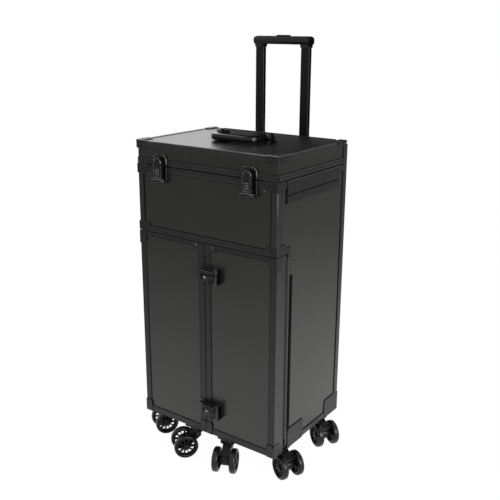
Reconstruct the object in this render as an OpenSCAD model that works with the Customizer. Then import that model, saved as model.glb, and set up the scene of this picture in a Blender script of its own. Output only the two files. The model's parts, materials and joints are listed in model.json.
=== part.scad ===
// Rolling makeup case on six twin-wheel casters, with a hinged lid, two deep doors and a trolley handle.
// Millimetres. The origin is on the ground under the middle of the case.
// +X is the case's right, +Y its back and +Z up.

/* [Case] */
// Width over the side faces
case_w = 370; // [350:1:420]
// Depth over the front and back faces
case_d = 278; // [265:1:320]
// Height of the doors' zone, from the underside up
door_zone_h = 455; // [420:1:500]
// Height of the upper bin, from the doors' zone to the lid's seam
bin_h = 152; // [135:1:190]
// Height of the lid
lid_h = 50; // [46:1:70]
// Height of the underside above the ground
under_h = 75; // [73:1:84]
// Height of the shelf above the cabinet's floor
shelf_up = 215; // [120:1:300]

/* [Panels] */
// Thickness of the faced panels
panel_t = 5; // [4:0.5:6]
// Thickness of the floor board
floor_t = 8; // [6:1:12]
// Thickness of the deck and of the shelf
deck_t = 6; // [5:1:10]

/* [Trim] */
// Thickness of the edge angles, which is how far the panels sit back
trim_t = 1.5; // [1:0.1:2]
// Width of the angles along the upper front corners and the bottom edges
angle_w = 15; // [12:1:20]
// Width of the angles along the back corners
back_angle_w = 17; // [15:1:20]
// Radius of the outer edge of an angle
edge_r = 2.5; // [2.1:0.1:4]
// Depth of the rim profiles
rim_w = 8; // [7:0.5:10]
// Wall of the rim profiles
rim_wall = 1.4; // [1:0.1:2]
// Height of the body's rim
rim_h = 15; // [12:1:18]
// Height of the lid's rim, with the seam
lid_rim_h = 13; // [10:1:16]
// Height of the header band above the doors
band_h = 12; // [10:1:16]
// Gap at the lid's seam
seam_gap = 0.6; // [0.4:0.1:1.5]
// Gap that keeps two members of one frame apart
joint_gap = 0.1; // [0.1:0.05:0.3]
// Thickness of the corner brackets
bracket_t = 1.2; // [0.8:0.1:1.6]
// Thickness of the foot plates
foot_t = 2; // [1.5:0.1:2.5]
// Height of the foot plates on the sides
foot_h = 45; // [35:1:60]
// Length of the foot plates along the sides
foot_len = 62; // [50:1:70]
// Height of the side rails
rail_h = 46; // [40:1:50]
// Distance of a side rail's front end from the front face
rail_front_in = 33; // [31:1:60]
// Distance of a side rail's back end from the back face
rail_back_in = 38; // [30:1:60]
// Depth of the grooves in the rims and in the header band
groove_d = 0.7; // [0.4:0.1:0.9]

/* [Doors] */
// Depth of a door
door_d = 36; // [30:1:42]
// Gap above the doors and between them
door_gap = 1.2; // [0.8:0.1:2]
// Width of a door frame's front flange
door_flange = 15; // [12:1:18]
// Width of a door frame's top flange
door_top_flange = 10; // [8:1:15]
// Width of a door frame's back lip
door_lip = 8; // [6:1:10]
// Wall of a door frame
door_wall = 2; // [1.5:0.1:3]
// Distance of the hinge axis behind a door
hinge_back = 5.5; // [5.2:0.1:7]
// Radius of the hinge knuckles
knuckle_r = 3.5; // [3:0.1:3.8]
// Radius of the hinge pins
hinge_pin_r = 1.5; // [1:0.1:1.8]
// Thickness of the hinge leaves
leaf_t = 1.2; // [0.8:0.1:1.5]
// Width of the open slot behind the hinge
slot_w = 8.2; // [6:0.1:10]
// Depth of the jambs behind the slot
jamb_d = 16; // [12:1:20]
// Height of the jambs' blocks above the slot
jamb_head = 50; // [40:1:60]
// Gap between neighbouring knuckles
knuckle_gap = 0.4; // [0.3:0.1:1]

/* [Latches] */
// Distance of the lid latches from the middle
lid_latch_x = 118; // [100:1:130]
// Width of a lid latch's plates
lid_latch_w = 38; // [36:1:44]
// Reach of a lid latch's base plate below the seam
lid_latch_low = 38; // [34:1:44]
// Reach of a lid latch's catch plate above the seam
lid_latch_high = 25; // [22:1:28]
// Width of a lid latch's lever
lid_lever_w = 24; // [20:1:26]
// Thickness of a lid latch's lever
lid_lever_t = 7.5; // [5:0.5:9]
// Gap between a lid latch's lever and its catch plate
lid_lever_gap = 3.6; // [3.4:0.1:5]
// Thickness of the latches' plates
latch_plate = 2; // [1.5:0.1:2.5]
// Width of a door latch
door_latch_w = 42; // [36:1:46]
// Height of a door latch
door_latch_h = 36; // [30:1:44]
// How far a door latch stands out
door_latch_out = 21; // [18:1:24]
// Height of the upper door latch above the underside
latch_up_high = 387.5; // [330:0.5:390]
// Height of the lower door latch above the underside
latch_up_low = 67.5; // [60:0.5:120]

/* [Trolley handle] */
// Distance of the tubes from the middle
tube_x = 61.5; // [50:0.5:75]
// Distance of the tubes' centre behind the case
tube_back = 16; // [15:0.5:20]
// Width of an inner tube
tube_w = 23; // [18:1:26]
// Depth of an inner tube
tube_d = 12; // [10:0.5:14]
// Wall of an outer tube
sleeve_wall = 2; // [1.5:0.1:2.5]
// Running clearance between the tubes
tube_clear = 0.2; // [0.15:0.05:0.4]
// Height of the grip's top above the case's lid
grip_up = 217; // [190:1:240]
// Travel of the handle
handle_travel = 270; // [240:1:280]
// Height of the grip bar
grip_h = 18; // [15:1:24]
// Depth of the grip bar
grip_d = 24; // [20:1:28]

/* [Carry handle] */
// Half the width of the carry handle
bow_x = 60; // [52:1:75]
// Distance of the handle's pivots behind the middle
bow_pivot_y = 8; // [0:1:20]
// Reach of the handle in front of its pivots
bow_reach = 58; // [50:1:70]
// Thickness of the handle
bow_t = 15; // [12:1:18]
// Depth of the grip
bow_grip = 26; // [20:1:30]
// Radius of the pivot pins
bow_pin_r = 4; // [3:0.1:5]

/* [Casters] */
// Radius of the wheels
wheel_r = 28.5; // [26:0.5:29]
// Width of one wheel
wheel_w = 14; // [11:0.5:15]
// Distance between the middles of twin wheels
wheel_pitch = 40; // [38:0.5:42]
// Trail of the axle behind the swivel pin
trail = 27.5; // [25:0.5:28]
// Radius of the axle
axle_r = 3; // [2:0.1:4]
// Radius of the swivel pin
king_r = 5; // [4:0.1:6]
// Running clearance of pins and axles
run_clear = 0.05; // [0.03:0.01:0.08]
// Number of spokes in a wheel
spokes = 10; // [6:1:12]
// Distance of the body's casters in from the side faces
caster_in = 25; // [22:1:35]
// Distance of the front body casters behind the front edge of their foot plates
caster_front_in = 18; // [18:1:24]
// Distance of the back body casters in front of the back face
caster_back_in = 39; // [31:1:44]
// Distance of the door casters from the middle
door_caster_x = 48; // [46:1:60]

/* [Hidden] */
$fn = 48;

half_w = case_w / 2;
front = -case_d / 2;
back = case_d / 2;
z_under = under_h;
z_door = z_under + door_zone_h;
z_seam = z_door + bin_h;
z_top = z_seam + lid_h;
z_rim = z_seam - rim_h;
z_shelf = z_under + floor_t + shelf_up;
face_x = half_w - trim_t;
in_x = face_x - panel_t;
face_front = front + trim_t;
in_front = face_front + panel_t;
face_back = back - trim_t;
in_back = face_back - panel_t;

// Door hinges: the axis is on the side plane, behind the door
hinge_y = front + door_d + hinge_back;
jamb_front = hinge_y + knuckle_r + 0.2;
cab_front = jamb_front + slot_w;
door_in = door_gap / 2;
door_z1 = z_door - door_gap;
hinge_z0 = z_under + 30;
hinge_z1 = z_door - 7;
knuckle_count = 7;

// Lid hinge: the knuckle is the lid's back edge
lid_axis_y = back - knuckle_r - 0.2;
lid_axis_z = z_top - knuckle_r - 0.5;
back_top = lid_axis_z - knuckle_r - 0.7;
horn_front = back - back_angle_w;
lid_wall_back = horn_front - 0.5;
lid_back = lid_axis_y - knuckle_r - 0.3;
lid_skin = 1;
lid_board = z_top - lid_skin - panel_t;
lid_hinge_x = half_w - 30;

// Foot plates
foot_front0 = cab_front + 1.5;
foot_back0 = back - foot_len;

// Trolley handle
tube_y = back + tube_back;
tube_r = 3;
sleeve_w = tube_w + 2 * (tube_clear + sleeve_wall);
sleeve_d = tube_d + 2 * (tube_clear + sleeve_wall);
grip_z1 = z_top + grip_up;
grip_z0 = grip_z1 - grip_h;
grip_x = tube_x + 13;
tube_top = grip_z0 + 9;
sleeve_top = z_seam - 36;
tube_low = sleeve_top - 91;
sleeve_low = tube_low - handle_travel - 10;
bracket_back = tube_y + sleeve_d / 2 + 2.5;
button_w = 32;
button_d = 11;
button_out = 2.5;
button_travel = 4;

// Carry handle
bow_z = z_top + bow_t / 2 + 1;
bow_front = bow_pivot_y - bow_reach;
mount_x0 = bow_x + 0.6;
mount_w = 14;

// Lid latches
lever_z = z_seam - lid_latch_low + 7;
lever_y = front - latch_plate - 5;
lever_back = front - latch_plate - lid_lever_gap;
lever_top = z_seam + lid_latch_high - 6;
latch_cut = 7;

// Door latches
door_latch_pivot = door_latch_w - 4;
door_latch_y = front - 11;

// Casters
mount_t = 2.5;
z_mount = z_under - foot_t;
z_king = z_mount - mount_t;
mount_half = 18;
head_top = z_king - 0.7;
head_z = 2 * wheel_r + 1.5;
head_low = wheel_r + 19;
neck_r = 12.4;
web_half = 10;
hub_r = 7;
hub_in = web_half + 0.4;
wheel_in = wheel_pitch / 2 - wheel_w / 2;
brake_x = -20;
brake_z = head_z + 3.5;
brake_half = 10.7;
door_caster_y = front + door_d / 2;
caster_x = half_w - caster_in;
caster_front_y = foot_front0 + caster_front_in;
caster_back_y = back - caster_back_in;
stem_front_left = [-caster_x, caster_front_y];
stem_front_right = [caster_x, caster_front_y];
stem_back_left = [-caster_x, caster_back_y];
stem_back_right = [caster_x, caster_back_y];
stem_door_left = [-door_caster_x, door_caster_y];
stem_door_right = [door_caster_x, door_caster_y];
// Which way each caster trails, as an angle in plan
turn_front_left = -122;
turn_front_right = -26;
turn_back_left = 180;
turn_back_right = -32;
turn_door_left = -128;
turn_door_right = -66;

BOARD = [0.10, 0.10, 0.11];
INNER = [0.16, 0.16, 0.17];
TRIM = [0.22, 0.22, 0.23];
STEEL = [0.62, 0.62, 0.64];
PLASTIC = [0.07, 0.07, 0.08];
TREAD = [0.34, 0.34, 0.35];
RED = [0.45, 0.10, 0.09];

// A block between two opposite corners
module block(lo, hi) {
  translate(lo) cube(hi - lo);
}

// The children on the right, or mirrored to the left
module on_side(s) {
  if (s > 0) {
    children();
  } else {
    mirror([1, 0, 0]) children();
  }
}

// The children on both sides
module both_sides() {
  children();
  mirror([1, 0, 0]) children();
}

// A drawing in Y and Z, extruded along X
module along_x(x0, x1) {
  translate([x0, 0, 0]) rotate([90, 0, 90]) linear_extrude(x1 - x0) children();
}

// A drawing in X and Z, extruded along Y
module along_y(y0, y1) {
  translate([0, y1, 0]) rotate([90, 0, 0]) linear_extrude(y1 - y0) children();
}

// A drawing in X and Y, extruded along Z
module along_z(z0, z1) {
  translate([0, 0, z0]) linear_extrude(z1 - z0) children();
}

// A rectangle between two corners
module rect(lo, hi) {
  translate(lo) square(hi - lo);
}

// A rectangle between two corners, with rounded corners
module round_rect(lo, hi, r) {
  rect([lo[0] + r, lo[1]], [hi[0] - r, hi[1]]);
  rect([lo[0], lo[1] + r], [hi[0], hi[1] - r]);
  for (x = [lo[0] + r, hi[0] - r], y = [lo[1] + r, hi[1] - r]) {
    translate([x, y]) circle(r);
  }
}

// An angle profile with its outer corner at the drawing's origin and its legs along +X and +Y
module angle_2d(a, b, ta, tb) {
  difference() {
    union() {
      rect([edge_r, 0], [a, ta]);
      rect([0, edge_r], [tb, b]);
      translate([edge_r, edge_r]) circle(edge_r);
    }
    rect([tb, ta], [a + 1, b + 1]);
  }
}

// A hollow profile between two corners
module tube_2d(lo, hi, wall) {
  difference() {
    rect(lo, hi);
    rect(lo + [wall, wall], hi - [wall, wall]);
  }
}

// Case boards

module side_panel() {
  along_x(in_x, face_x) polygon([
    [cab_front, z_under], [in_back, z_under], [in_back, back_top], [horn_front, back_top],
    [horn_front, z_rim], [in_front, z_rim], [in_front, z_door], [cab_front, z_door]]);
}

module side_panels() {
  color(BOARD) both_sides() side_panel();
}

module back_panel() {
  color(BOARD) block([-face_x, in_back, z_under], [face_x, face_back, back_top]);
}

module floor_panel() {
  color(INNER) block([-in_x, cab_front, z_under], [in_x, in_back, z_under + floor_t]);
}

module bin_deck() {
  color(INNER) block([-in_x, in_front, z_door], [in_x, in_back, z_door + deck_t]);
}

module cabinet_shelf() {
  color(INNER) block([-in_x, cab_front + jamb_d + 0.3, z_shelf], [in_x, in_back, z_shelf + deck_t]);
}

module front_panel() {
  color(BOARD) block([-face_x, face_front, z_door], [face_x, in_front, z_rim]);
}

// Case trim

// Grooves at even spaces up a face at the drawing's x, between two heights
module grooves_2d(x, z0, z1, count) {
  for (i = [1 : count]) {
    z = z0 + (z1 - z0) * i / (count + 1);
    rect([x - groove_d, z - 0.6], [x + groove_d, z + 0.6]);
  }
}

module rim_frame() {
  color(TRIM) {
    along_x(-half_w, half_w) difference() {
      tube_2d([front, z_rim], [front + rim_w, z_seam], rim_wall);
      grooves_2d(front, z_rim, z_seam, 1);
    }
    both_sides() along_y(front + rim_w + joint_gap, horn_front)
      tube_2d([half_w - rim_w, z_rim], [half_w, z_seam], rim_wall);
  }
}

module header_frame() {
  color(TRIM) {
    along_x(-half_w, half_w) difference() {
      rect([front, z_door], [face_front, z_door + band_h]);
      grooves_2d(front, z_door, z_door + band_h, 2);
    }
    both_sides() along_y(face_front + joint_gap, cab_front) difference() {
      rect([face_x, z_door], [half_w, z_door + band_h]);
      grooves_2d(half_w, z_door, z_door + band_h, 2);
    }
  }
}

module edge_angles() {
  color(TRIM) both_sides() {
    along_z(z_door + band_h, z_rim) translate([half_w, front]) mirror([1, 0])
      angle_2d(angle_w, angle_w, trim_t, trim_t);
    along_z(z_under + foot_h, back_top) translate([half_w, back]) rotate(180)
      angle_2d(back_angle_w, back_angle_w, trim_t, trim_t);
    along_y(foot_front0 + foot_len + 0.3, foot_back0 - 0.3) translate([half_w, z_under - trim_t])
      mirror([1, 0]) angle_2d(angle_w, angle_w, trim_t, trim_t);
  }
  color(TRIM) along_x(-half_w + foot_len + 0.3, half_w - foot_len - 0.3)
    translate([back, z_under - trim_t]) mirror([1, 0]) angle_2d(angle_w, angle_w, trim_t, trim_t);
}

module door_jamb() {
  block([in_x - 12, jamb_front, z_under + floor_t], [in_x, cab_front + jamb_d, z_door]);
  block([in_x, jamb_front, z_door - jamb_head], [face_x, cab_front, z_door]);
  block([in_x, jamb_front, z_under + floor_t], [face_x, cab_front, z_under + foot_h]);
}

module door_jambs() {
  color(TRIM) difference() {
    both_sides() door_jamb();
    // The floor board's front corners stay clear
    block([-in_x, cab_front, z_under - 1], [in_x, cab_front + 20, z_under + floor_t]);
  }
}

module foot_front() {
  y0 = foot_front0;
  y1 = y0 + foot_len;
  z0 = z_under - foot_t;
  z1 = z_under + foot_h;
  along_x(face_x, face_x + foot_t) polygon([[y0, z0], [y1, z0], [y1, z1 - 3], [y1 - 3, z1],
    [y0 + 6, z1], [y0, z1 - 6]]);
  block([half_w - foot_len, y0, z0], [face_x + foot_t, y1, z_under]);
}

module foot_back() {
  y0 = foot_back0;
  y1 = face_back + foot_t;
  x1 = face_x + foot_t;
  z0 = z_under - foot_t;
  z1 = z_under + foot_h;
  along_x(face_x, x1) polygon([[y0, z0], [y1, z0], [y1, z1], [y0 + 6, z1], [y0, z1 - 6]]);
  along_y(face_back, y1) polygon([[x1, z0], [x1, z1], [half_w - 39, z1], [half_w - 45, z1 - 6],
    [half_w - 45, z0]]);
  block([half_w - foot_len, y0, z0], [x1, y1, z_under]);
}

// A bracket that wraps the front corner, between two heights
module wrap_bracket(z0, z1, on_front, on_side_len) {
  x0 = half_w - on_front;
  h = z1 - z0;
  along_y(front - bracket_t, front) {
    polygon([[half_w, z0], [half_w, z1], [x0, z1], [x0, z0 + h * 0.55], [x0 + 6, z0 + h * 0.55],
      [x0 + 6, z0 + h * 0.28], [x0 + 13, z0 + h * 0.28], [x0 + 13, z0]]);
  }
  y1 = front + on_side_len;
  along_x(half_w, half_w + bracket_t) {
    polygon([[front - bracket_t, z0], [y1 - 12, z0], [y1 - 12, z0 + h * 0.3], [y1, z0 + h * 0.3],
      [y1, z1], [front - bracket_t, z1]]);
  }
}

module corner_brackets() {
  color(TRIM) both_sides() {
    foot_front();
    foot_back();
    wrap_bracket(z_rim - 7, z_seam - 1, 32, 30);
    wrap_bracket(z_door + 0.5, z_door + band_h + 9, 28, 34);
  }
}

module side_rail() {
  groove = z_seam - 30;
  low = z_seam - rail_h - 2;
  along_y(front + rail_front_in, back - rail_back_in) polygon([
    [half_w, z_seam - 2], [half_w + 2, z_seam - 2], [half_w + 2, groove + 0.8],
    [half_w + 1, groove + 0.8], [half_w + 1, groove - 0.8], [half_w + 1.6, groove - 0.8],
    [half_w + 1.6, low], [face_x, low], [face_x, z_rim], [half_w, z_rim]]);
}

module side_rails() {
  color(TRIM) both_sides() side_rail();
}

// Hinges

// A row of knuckles along Z at the drawing's origin, either the odd or the even ones
module knuckles(z0, z1, count, first) {
  pitch = (z1 - z0) / count;
  for (i = [first : 2 : count - 1]) {
    translate([0, 0, z0 + i * pitch + knuckle_gap / 2])
      cylinder(r = knuckle_r, h = pitch - knuckle_gap);
  }
}

// A row of tabs that join a leaf to its knuckles
module knuckle_tabs(z0, z1, count, first, lo, hi) {
  pitch = (z1 - z0) / count;
  for (i = [first : 2 : count - 1]) {
    block([lo[0], lo[1], z0 + i * pitch + knuckle_gap / 2],
      [hi[0], hi[1], z0 + (i + 1) * pitch - knuckle_gap / 2]);
  }
}

module door_body_leaf() {
  block([in_x - 11, jamb_front - leaf_t, hinge_z0],
    [half_w - knuckle_r - 0.3, jamb_front, hinge_z1]);
  knuckle_tabs(hinge_z0, hinge_z1, knuckle_count, 0,
    [half_w - knuckle_r - 1, jamb_front - leaf_t], [half_w - 0.5, jamb_front]);
  translate([half_w, hinge_y]) {
    knuckles(hinge_z0, hinge_z1, knuckle_count, 0);
    translate([0, 0, hinge_z0 + 1]) cylinder(r = hinge_pin_r, h = hinge_z1 - hinge_z0 - 2);
  }
}

module lid_back_leaf() {
  x0 = -lid_hinge_x;
  x1 = lid_hinge_x;
  block([x0, face_back, back_top - 24], [x1, face_back + leaf_t, back_top]);
  rotate([0, 90, 0]) {
    knuckle_tabs(x0, x1, knuckle_count, 0,
      [-lid_axis_z, face_back], [-back_top + 1, face_back + leaf_t]);
    translate([-lid_axis_z, lid_axis_y]) {
      knuckles(x0, x1, knuckle_count, 0);
      translate([0, 0, x0 + 1]) cylinder(r = hinge_pin_r, h = x1 - x0 - 2);
    }
  }
}

module body_hinge_leaves() {
  color(STEEL) {
    both_sides() door_body_leaf();
    lid_back_leaf();
  }
}

module door_leaf() {
  rear = front + door_d;
  difference() {
    union() {
      block([in_x - 11, rear, hinge_z0], [half_w - 0.2, rear + leaf_t, hinge_z1]);
      knuckle_tabs(hinge_z0, hinge_z1, knuckle_count, 1,
        [half_w - 2.6, rear], [half_w - 0.2, hinge_y]);
      translate([half_w, hinge_y]) knuckles(hinge_z0, hinge_z1, knuckle_count, 1);
    }
    translate([half_w, hinge_y, hinge_z0 - 1])
      cylinder(r = hinge_pin_r + run_clear, h = hinge_z1 - hinge_z0 + 2);
  }
}

module lid_hinge_leaf() {
  x0 = -lid_hinge_x;
  x1 = lid_hinge_x;
  color(STEEL) difference() {
    union() {
      block([x0, lid_back - 22, lid_board - leaf_t], [x1, lid_back, lid_board]);
      rotate([0, 90, 0]) {
        knuckle_tabs(x0, x1, knuckle_count, 1,
          [-lid_board, lid_back - 1], [-lid_board + leaf_t, lid_axis_y - 0.6]);
        translate([-lid_axis_z, lid_axis_y]) knuckles(x0, x1, knuckle_count, 1);
      }
    }
    translate([x0 - 1, lid_axis_y, lid_axis_z]) rotate([0, 90, 0])
      cylinder(r = hinge_pin_r + run_clear, h = x1 - x0 + 2);
  }
}

// Lid

module lid_top_panel() {
  color(BOARD) block([-face_x, face_front, lid_board], [face_x, lid_back, z_top - lid_skin]);
}

module lid_wall_panels() {
  z0 = z_seam + lid_rim_h;
  color(BOARD) {
    block([-face_x, face_front, z0], [face_x, in_front, lid_board]);
    both_sides() block([in_x, in_front + joint_gap, z0], [face_x, lid_wall_back, lid_board]);
  }
}

module lid_frame() {
  z0 = z_seam + seam_gap;
  z1 = z_seam + lid_rim_h;
  color(TRIM) {
    along_x(-half_w, half_w) difference() {
      tube_2d([front, z0], [front + rim_w, z1], rim_wall);
      grooves_2d(front, z0, z1, 1);
    }
    along_x(-half_w, half_w) translate([front, z_top]) mirror([0, 1])
      angle_2d(7, 11, lid_skin, trim_t);
    both_sides() {
      along_y(front + rim_w + joint_gap, lid_wall_back) difference() {
        tube_2d([half_w - rim_w, z0], [half_w, z1], rim_wall);
        grooves_2d(half_w, z0, z1, 1);
      }
      along_y(front + 7 + joint_gap, lid_wall_back) translate([half_w, z_top]) rotate(180)
        angle_2d(7, 11, lid_skin, trim_t);
      along_y(lid_wall_back + joint_gap, lid_back)
        rect([face_x, lid_board], [half_w, z_top]);
    }
  }
}

module lid_corner_front() {
  along_z(z_top, z_top + bracket_t) rect([half_w - 16, front - bracket_t], [half_w, front + 38]);
  along_x(half_w, half_w + bracket_t) rect([front - bracket_t, z_top - 17], [front + 38, z_top + bracket_t]);
  along_y(front - bracket_t, front) rect([half_w - 28, z_top - 17], [half_w, z_top + bracket_t]);
}

module lid_corner_back() {
  y0 = lid_back - 36;
  along_z(z_top, z_top + bracket_t) rect([half_w - 16, y0], [half_w, lid_back]);
  along_x(half_w, half_w + bracket_t) {
    rect([y0, z_top - 11], [lid_wall_back, z_top + bracket_t]);
    rect([lid_wall_back - 1, lid_board], [lid_back, z_top + bracket_t]);
  }
}

module lid_corners() {
  color(TRIM) both_sides() {
    lid_corner_front();
    lid_corner_back();
  }
}

// Lid latches

module lid_latch_base() {
  w = lid_latch_w / 2;
  low = z_seam - lid_latch_low;
  translate([lid_latch_x, 0, 0]) {
    along_y(front - latch_plate, front) polygon([[-w, z_seam - 1], [-w, low + latch_cut],
      [-w + latch_cut, low], [w - latch_cut, low], [w, low + latch_cut], [w, z_seam - 1]]);
    along_y(face_front - 3, face_front) rect([-w + 4, low + 3], [w - 4, z_rim - 1]);
    for (s = [-1, 1]) {
      along_x(s * (w - 2.6) - 1.6, s * (w - 2.6) + 1.6) {
        translate([lever_y, lever_z]) circle(4);
        rect([lever_y, lever_z - 4], [front - 1, lever_z + 4]);
      }
    }
    along_x(-w + 2, w - 2) translate([lever_y, lever_z]) circle(2);
  }
}

module lid_latch_bases() {
  color(TRIM) both_sides() lid_latch_base();
}

// The outline of a lid latch's lever, drawn in by an edge and from a height up: straight with a round top
module lever_2d(edge, z0) {
  w = lid_lever_w / 2 - edge;
  arch = lever_top - lid_lever_w / 2;
  rect([-w, z0], [w, arch]);
  translate([0, arch]) circle(w);
}

module lid_latch_lever() {
  barrel = lid_latch_w / 2 - 4.6;
  face = lever_back - lid_lever_t;
  translate([lid_latch_x, 0, 0]) difference() {
    union() {
      along_x(-barrel, barrel) translate([lever_y, lever_z]) circle(3.8);
      along_y(face, lever_back) lever_2d(0, lever_z - 2);
      along_y(face - 2, face + 1) rect([-lid_lever_w / 2, lever_z - 3], [lid_lever_w / 2, lever_z + 3]);
    }
    // The sunk face between the lever's borders
    along_y(face - 1, face + 1.8) lever_2d(3.4, lever_z + 7);
    along_x(-barrel - 1, barrel + 1) translate([lever_y, lever_z]) circle(2 + run_clear);
  }
  // The ribs of the sunk face
  translate([lid_latch_x, 0, 0]) for (i = [0 : 3]) {
    along_y(face + 0.6, face + 2.5) rect([-5.5, lever_z + 10 + 4 * i], [5.5, lever_z + 12 + 4 * i]);
  }
}

module lid_latch_catch() {
  w = lid_latch_w / 2;
  z0 = z_seam + seam_gap + 0.4;
  high = z_seam + lid_latch_high;
  translate([lid_latch_x, 0, 0]) {
    along_y(front - latch_plate, front) polygon([[-w, z0], [w, z0], [w, high - latch_cut],
      [w - latch_cut, high], [-w + latch_cut, high], [-w, high - latch_cut]]);
    along_y(face_front - 3, face_front) rect([-w + 4, z_seam + lid_rim_h + 0.2], [w - 4, high - 3]);
  }
}

module lid_latch_catches() {
  color(TRIM) both_sides() lid_latch_catch();
}

module lid_latch_lever_left() {
  color(PLASTIC) on_side(-1) lid_latch_lever();
}

module lid_latch_lever_right() {
  color(PLASTIC) on_side(1) lid_latch_lever();
}

// Carry handle

module carry_handle_mount() {
  difference() {
    union() {
      along_z(z_top - lid_skin, z_top + 2)
        round_rect([mount_x0, bow_pivot_y - 18], [mount_x0 + mount_w, bow_pivot_y + 18], 4);
      along_x(mount_x0, mount_x0 + mount_w - 2) {
        translate([bow_pivot_y, bow_z]) circle(9.5);
        rect([bow_pivot_y - 9.5, z_top], [bow_pivot_y + 9.5, bow_z]);
      }
    }
    translate([mount_x0 - 1, bow_pivot_y, bow_z]) rotate([0, 90, 0])
      cylinder(r = bow_pin_r + run_clear, h = mount_w - 3);
  }
}

module carry_handle_mounts() {
  color(PLASTIC) both_sides() carry_handle_mount();
}

module carry_handle() {
  arm = 15;
  r_out = 18;
  color(PLASTIC) {
    along_z(bow_z - bow_t / 2, bow_z + bow_t / 2) {
      difference() {
        union() {
          rect([-bow_x + r_out, bow_front], [bow_x - r_out, bow_front + bow_grip]);
          rect([-bow_x, bow_front + r_out], [bow_x, bow_pivot_y]);
          for (s = [-1, 1]) {
            translate([s * (bow_x - r_out), bow_front + r_out]) circle(r_out);
          }
        }
        rect([-bow_x + arm, bow_front + bow_grip], [bow_x - arm, bow_pivot_y + 1]);
      }
    }
    both_sides() translate([bow_x - arm, bow_pivot_y, bow_z]) rotate([0, 90, 0]) {
      cylinder(r = bow_t / 2, h = arm);
      cylinder(r = bow_pin_r, h = arm + mount_w - 6);
    }
  }
}

// Doors

// The whole ring of a right door's frame
module door_ring() {
  lo = [door_in, front, z_under];
  hi = [half_w, front + door_d, door_z1];
  f = door_flange;
  w = door_wall;
  l = door_lip;
  difference() {
    block(lo, hi);
    block(lo + [f, -1, f], hi + [-f, -door_d + trim_t + 1, -door_top_flange]);
    block(lo + [w, trim_t, w], hi + [-w, -trim_t, -w]);
    block(lo + [l, trim_t + 1, l], hi + [-l, 1, -l]);
  }
}

// One mitred member of the ring: 0 inner stile, 1 outer stile, 2 bottom rail, 3 top rail
module door_member(i) {
  x0 = door_in - 1;
  x1 = half_w + 1;
  z0 = z_under - 1;
  z1 = door_z1 + 1;
  m = door_flange + 3;
  g = joint_gap;
  shapes = [
    [[x0, z0 + g], [x0, z1 - g], [x0 + m, z1 - m - g], [x0 + m, z0 + m + g]],
    [[x1, z0 + g], [x1 - m, z0 + m + g], [x1 - m, z1 - m - g], [x1, z1 - g]],
    [[x0 + g, z0], [x0 + m + g, z0 + m], [x1 - m - g, z0 + m], [x1 - g, z0]],
    [[x0 + g, z1], [x1 - g, z1], [x1 - m - g, z1 - m], [x0 + m + g, z1 - m]]];
  intersection() {
    door_ring();
    along_y(front - 1, front + door_d + 1) polygon(shapes[i]);
  }
}

module door_frame() {
  for (i = [0 : 3]) {
    door_member(i);
  }
}

module door_panel() {
  w = door_wall;
  block([door_in + w, face_front, z_under + w], [half_w - w, face_front + panel_t, door_z1 - w]);
}

// A tab on the front face with a rounded end, which points up or down
module door_tab(x0, x1, z0, z1, up) {
  r = (x1 - x0) / 2;
  along_y(front - bracket_t, front) {
    rect([x0, up ? z0 : z0 + r], [x1, up ? z1 - r : z1]);
    translate([x0 + r, up ? z1 - r : z0 + r]) circle(r);
  }
}

module door_corner_outer(z0, z1, up) {
  door_tab(half_w - 18, half_w, z0, z1, up);
  along_y(front - bracket_t, front) rect([half_w - 18, up ? z0 : z1 - 9], [half_w, up ? z0 + 9 : z1]);
  along_x(half_w, half_w + bracket_t) rect([front - bracket_t, z0], [front + 20, z1]);
}

module door_corners() {
  h = 30;
  door_tab(door_in + 0.2, door_in + 16, z_under, z_under + h, true);
  along_y(front - bracket_t, front) {
    rect([door_in + 0.2, door_z1 - 17], [door_in + 30, door_z1]);
    rect([door_in + 0.2, door_z1 - 26], [door_in + 14, door_z1 - 16]);
  }
  door_corner_outer(z_under, z_under + h, true);
  door_corner_outer(door_z1 - h, door_z1, false);
}

module door_panel_left() {
  color(BOARD) on_side(-1) door_panel();
}

module door_panel_right() {
  color(BOARD) on_side(1) door_panel();
}

module door_frame_left() {
  color(TRIM) on_side(-1) door_frame();
}

module door_frame_right() {
  color(TRIM) on_side(1) door_frame();
}

module door_corners_left() {
  color(TRIM) on_side(-1) door_corners();
}

module door_corners_right() {
  color(TRIM) on_side(1) door_corners();
}

module door_hinge_leaf_left() {
  color(STEEL) on_side(-1) door_leaf();
}

module door_hinge_leaf_right() {
  color(STEEL) on_side(1) door_leaf();
}

// Door latches

module door_latch_base(z) {
  h = door_latch_h / 2;
  translate([0, 0, z]) {
    along_y(front - 2, front) round_rect([door_in + 0.8, -h], [door_latch_w + 2, h], 2);
    for (s = [-1, 1]) {
      along_z(s * (h - 1.5) - 1.5, s * (h - 1.5) + 1.5) {
        translate([door_latch_pivot, door_latch_y]) circle(5);
        rect([door_latch_pivot - 5, door_latch_y], [door_latch_pivot + 5, front - 1]);
      }
    }
    along_z(-h + 1, h - 1) translate([door_latch_pivot, door_latch_y]) circle(2);
  }
}

module door_latch_bases() {
  color(TRIM) {
    door_latch_base(z_under + latch_up_high);
    door_latch_base(z_under + latch_up_low);
  }
}

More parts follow.
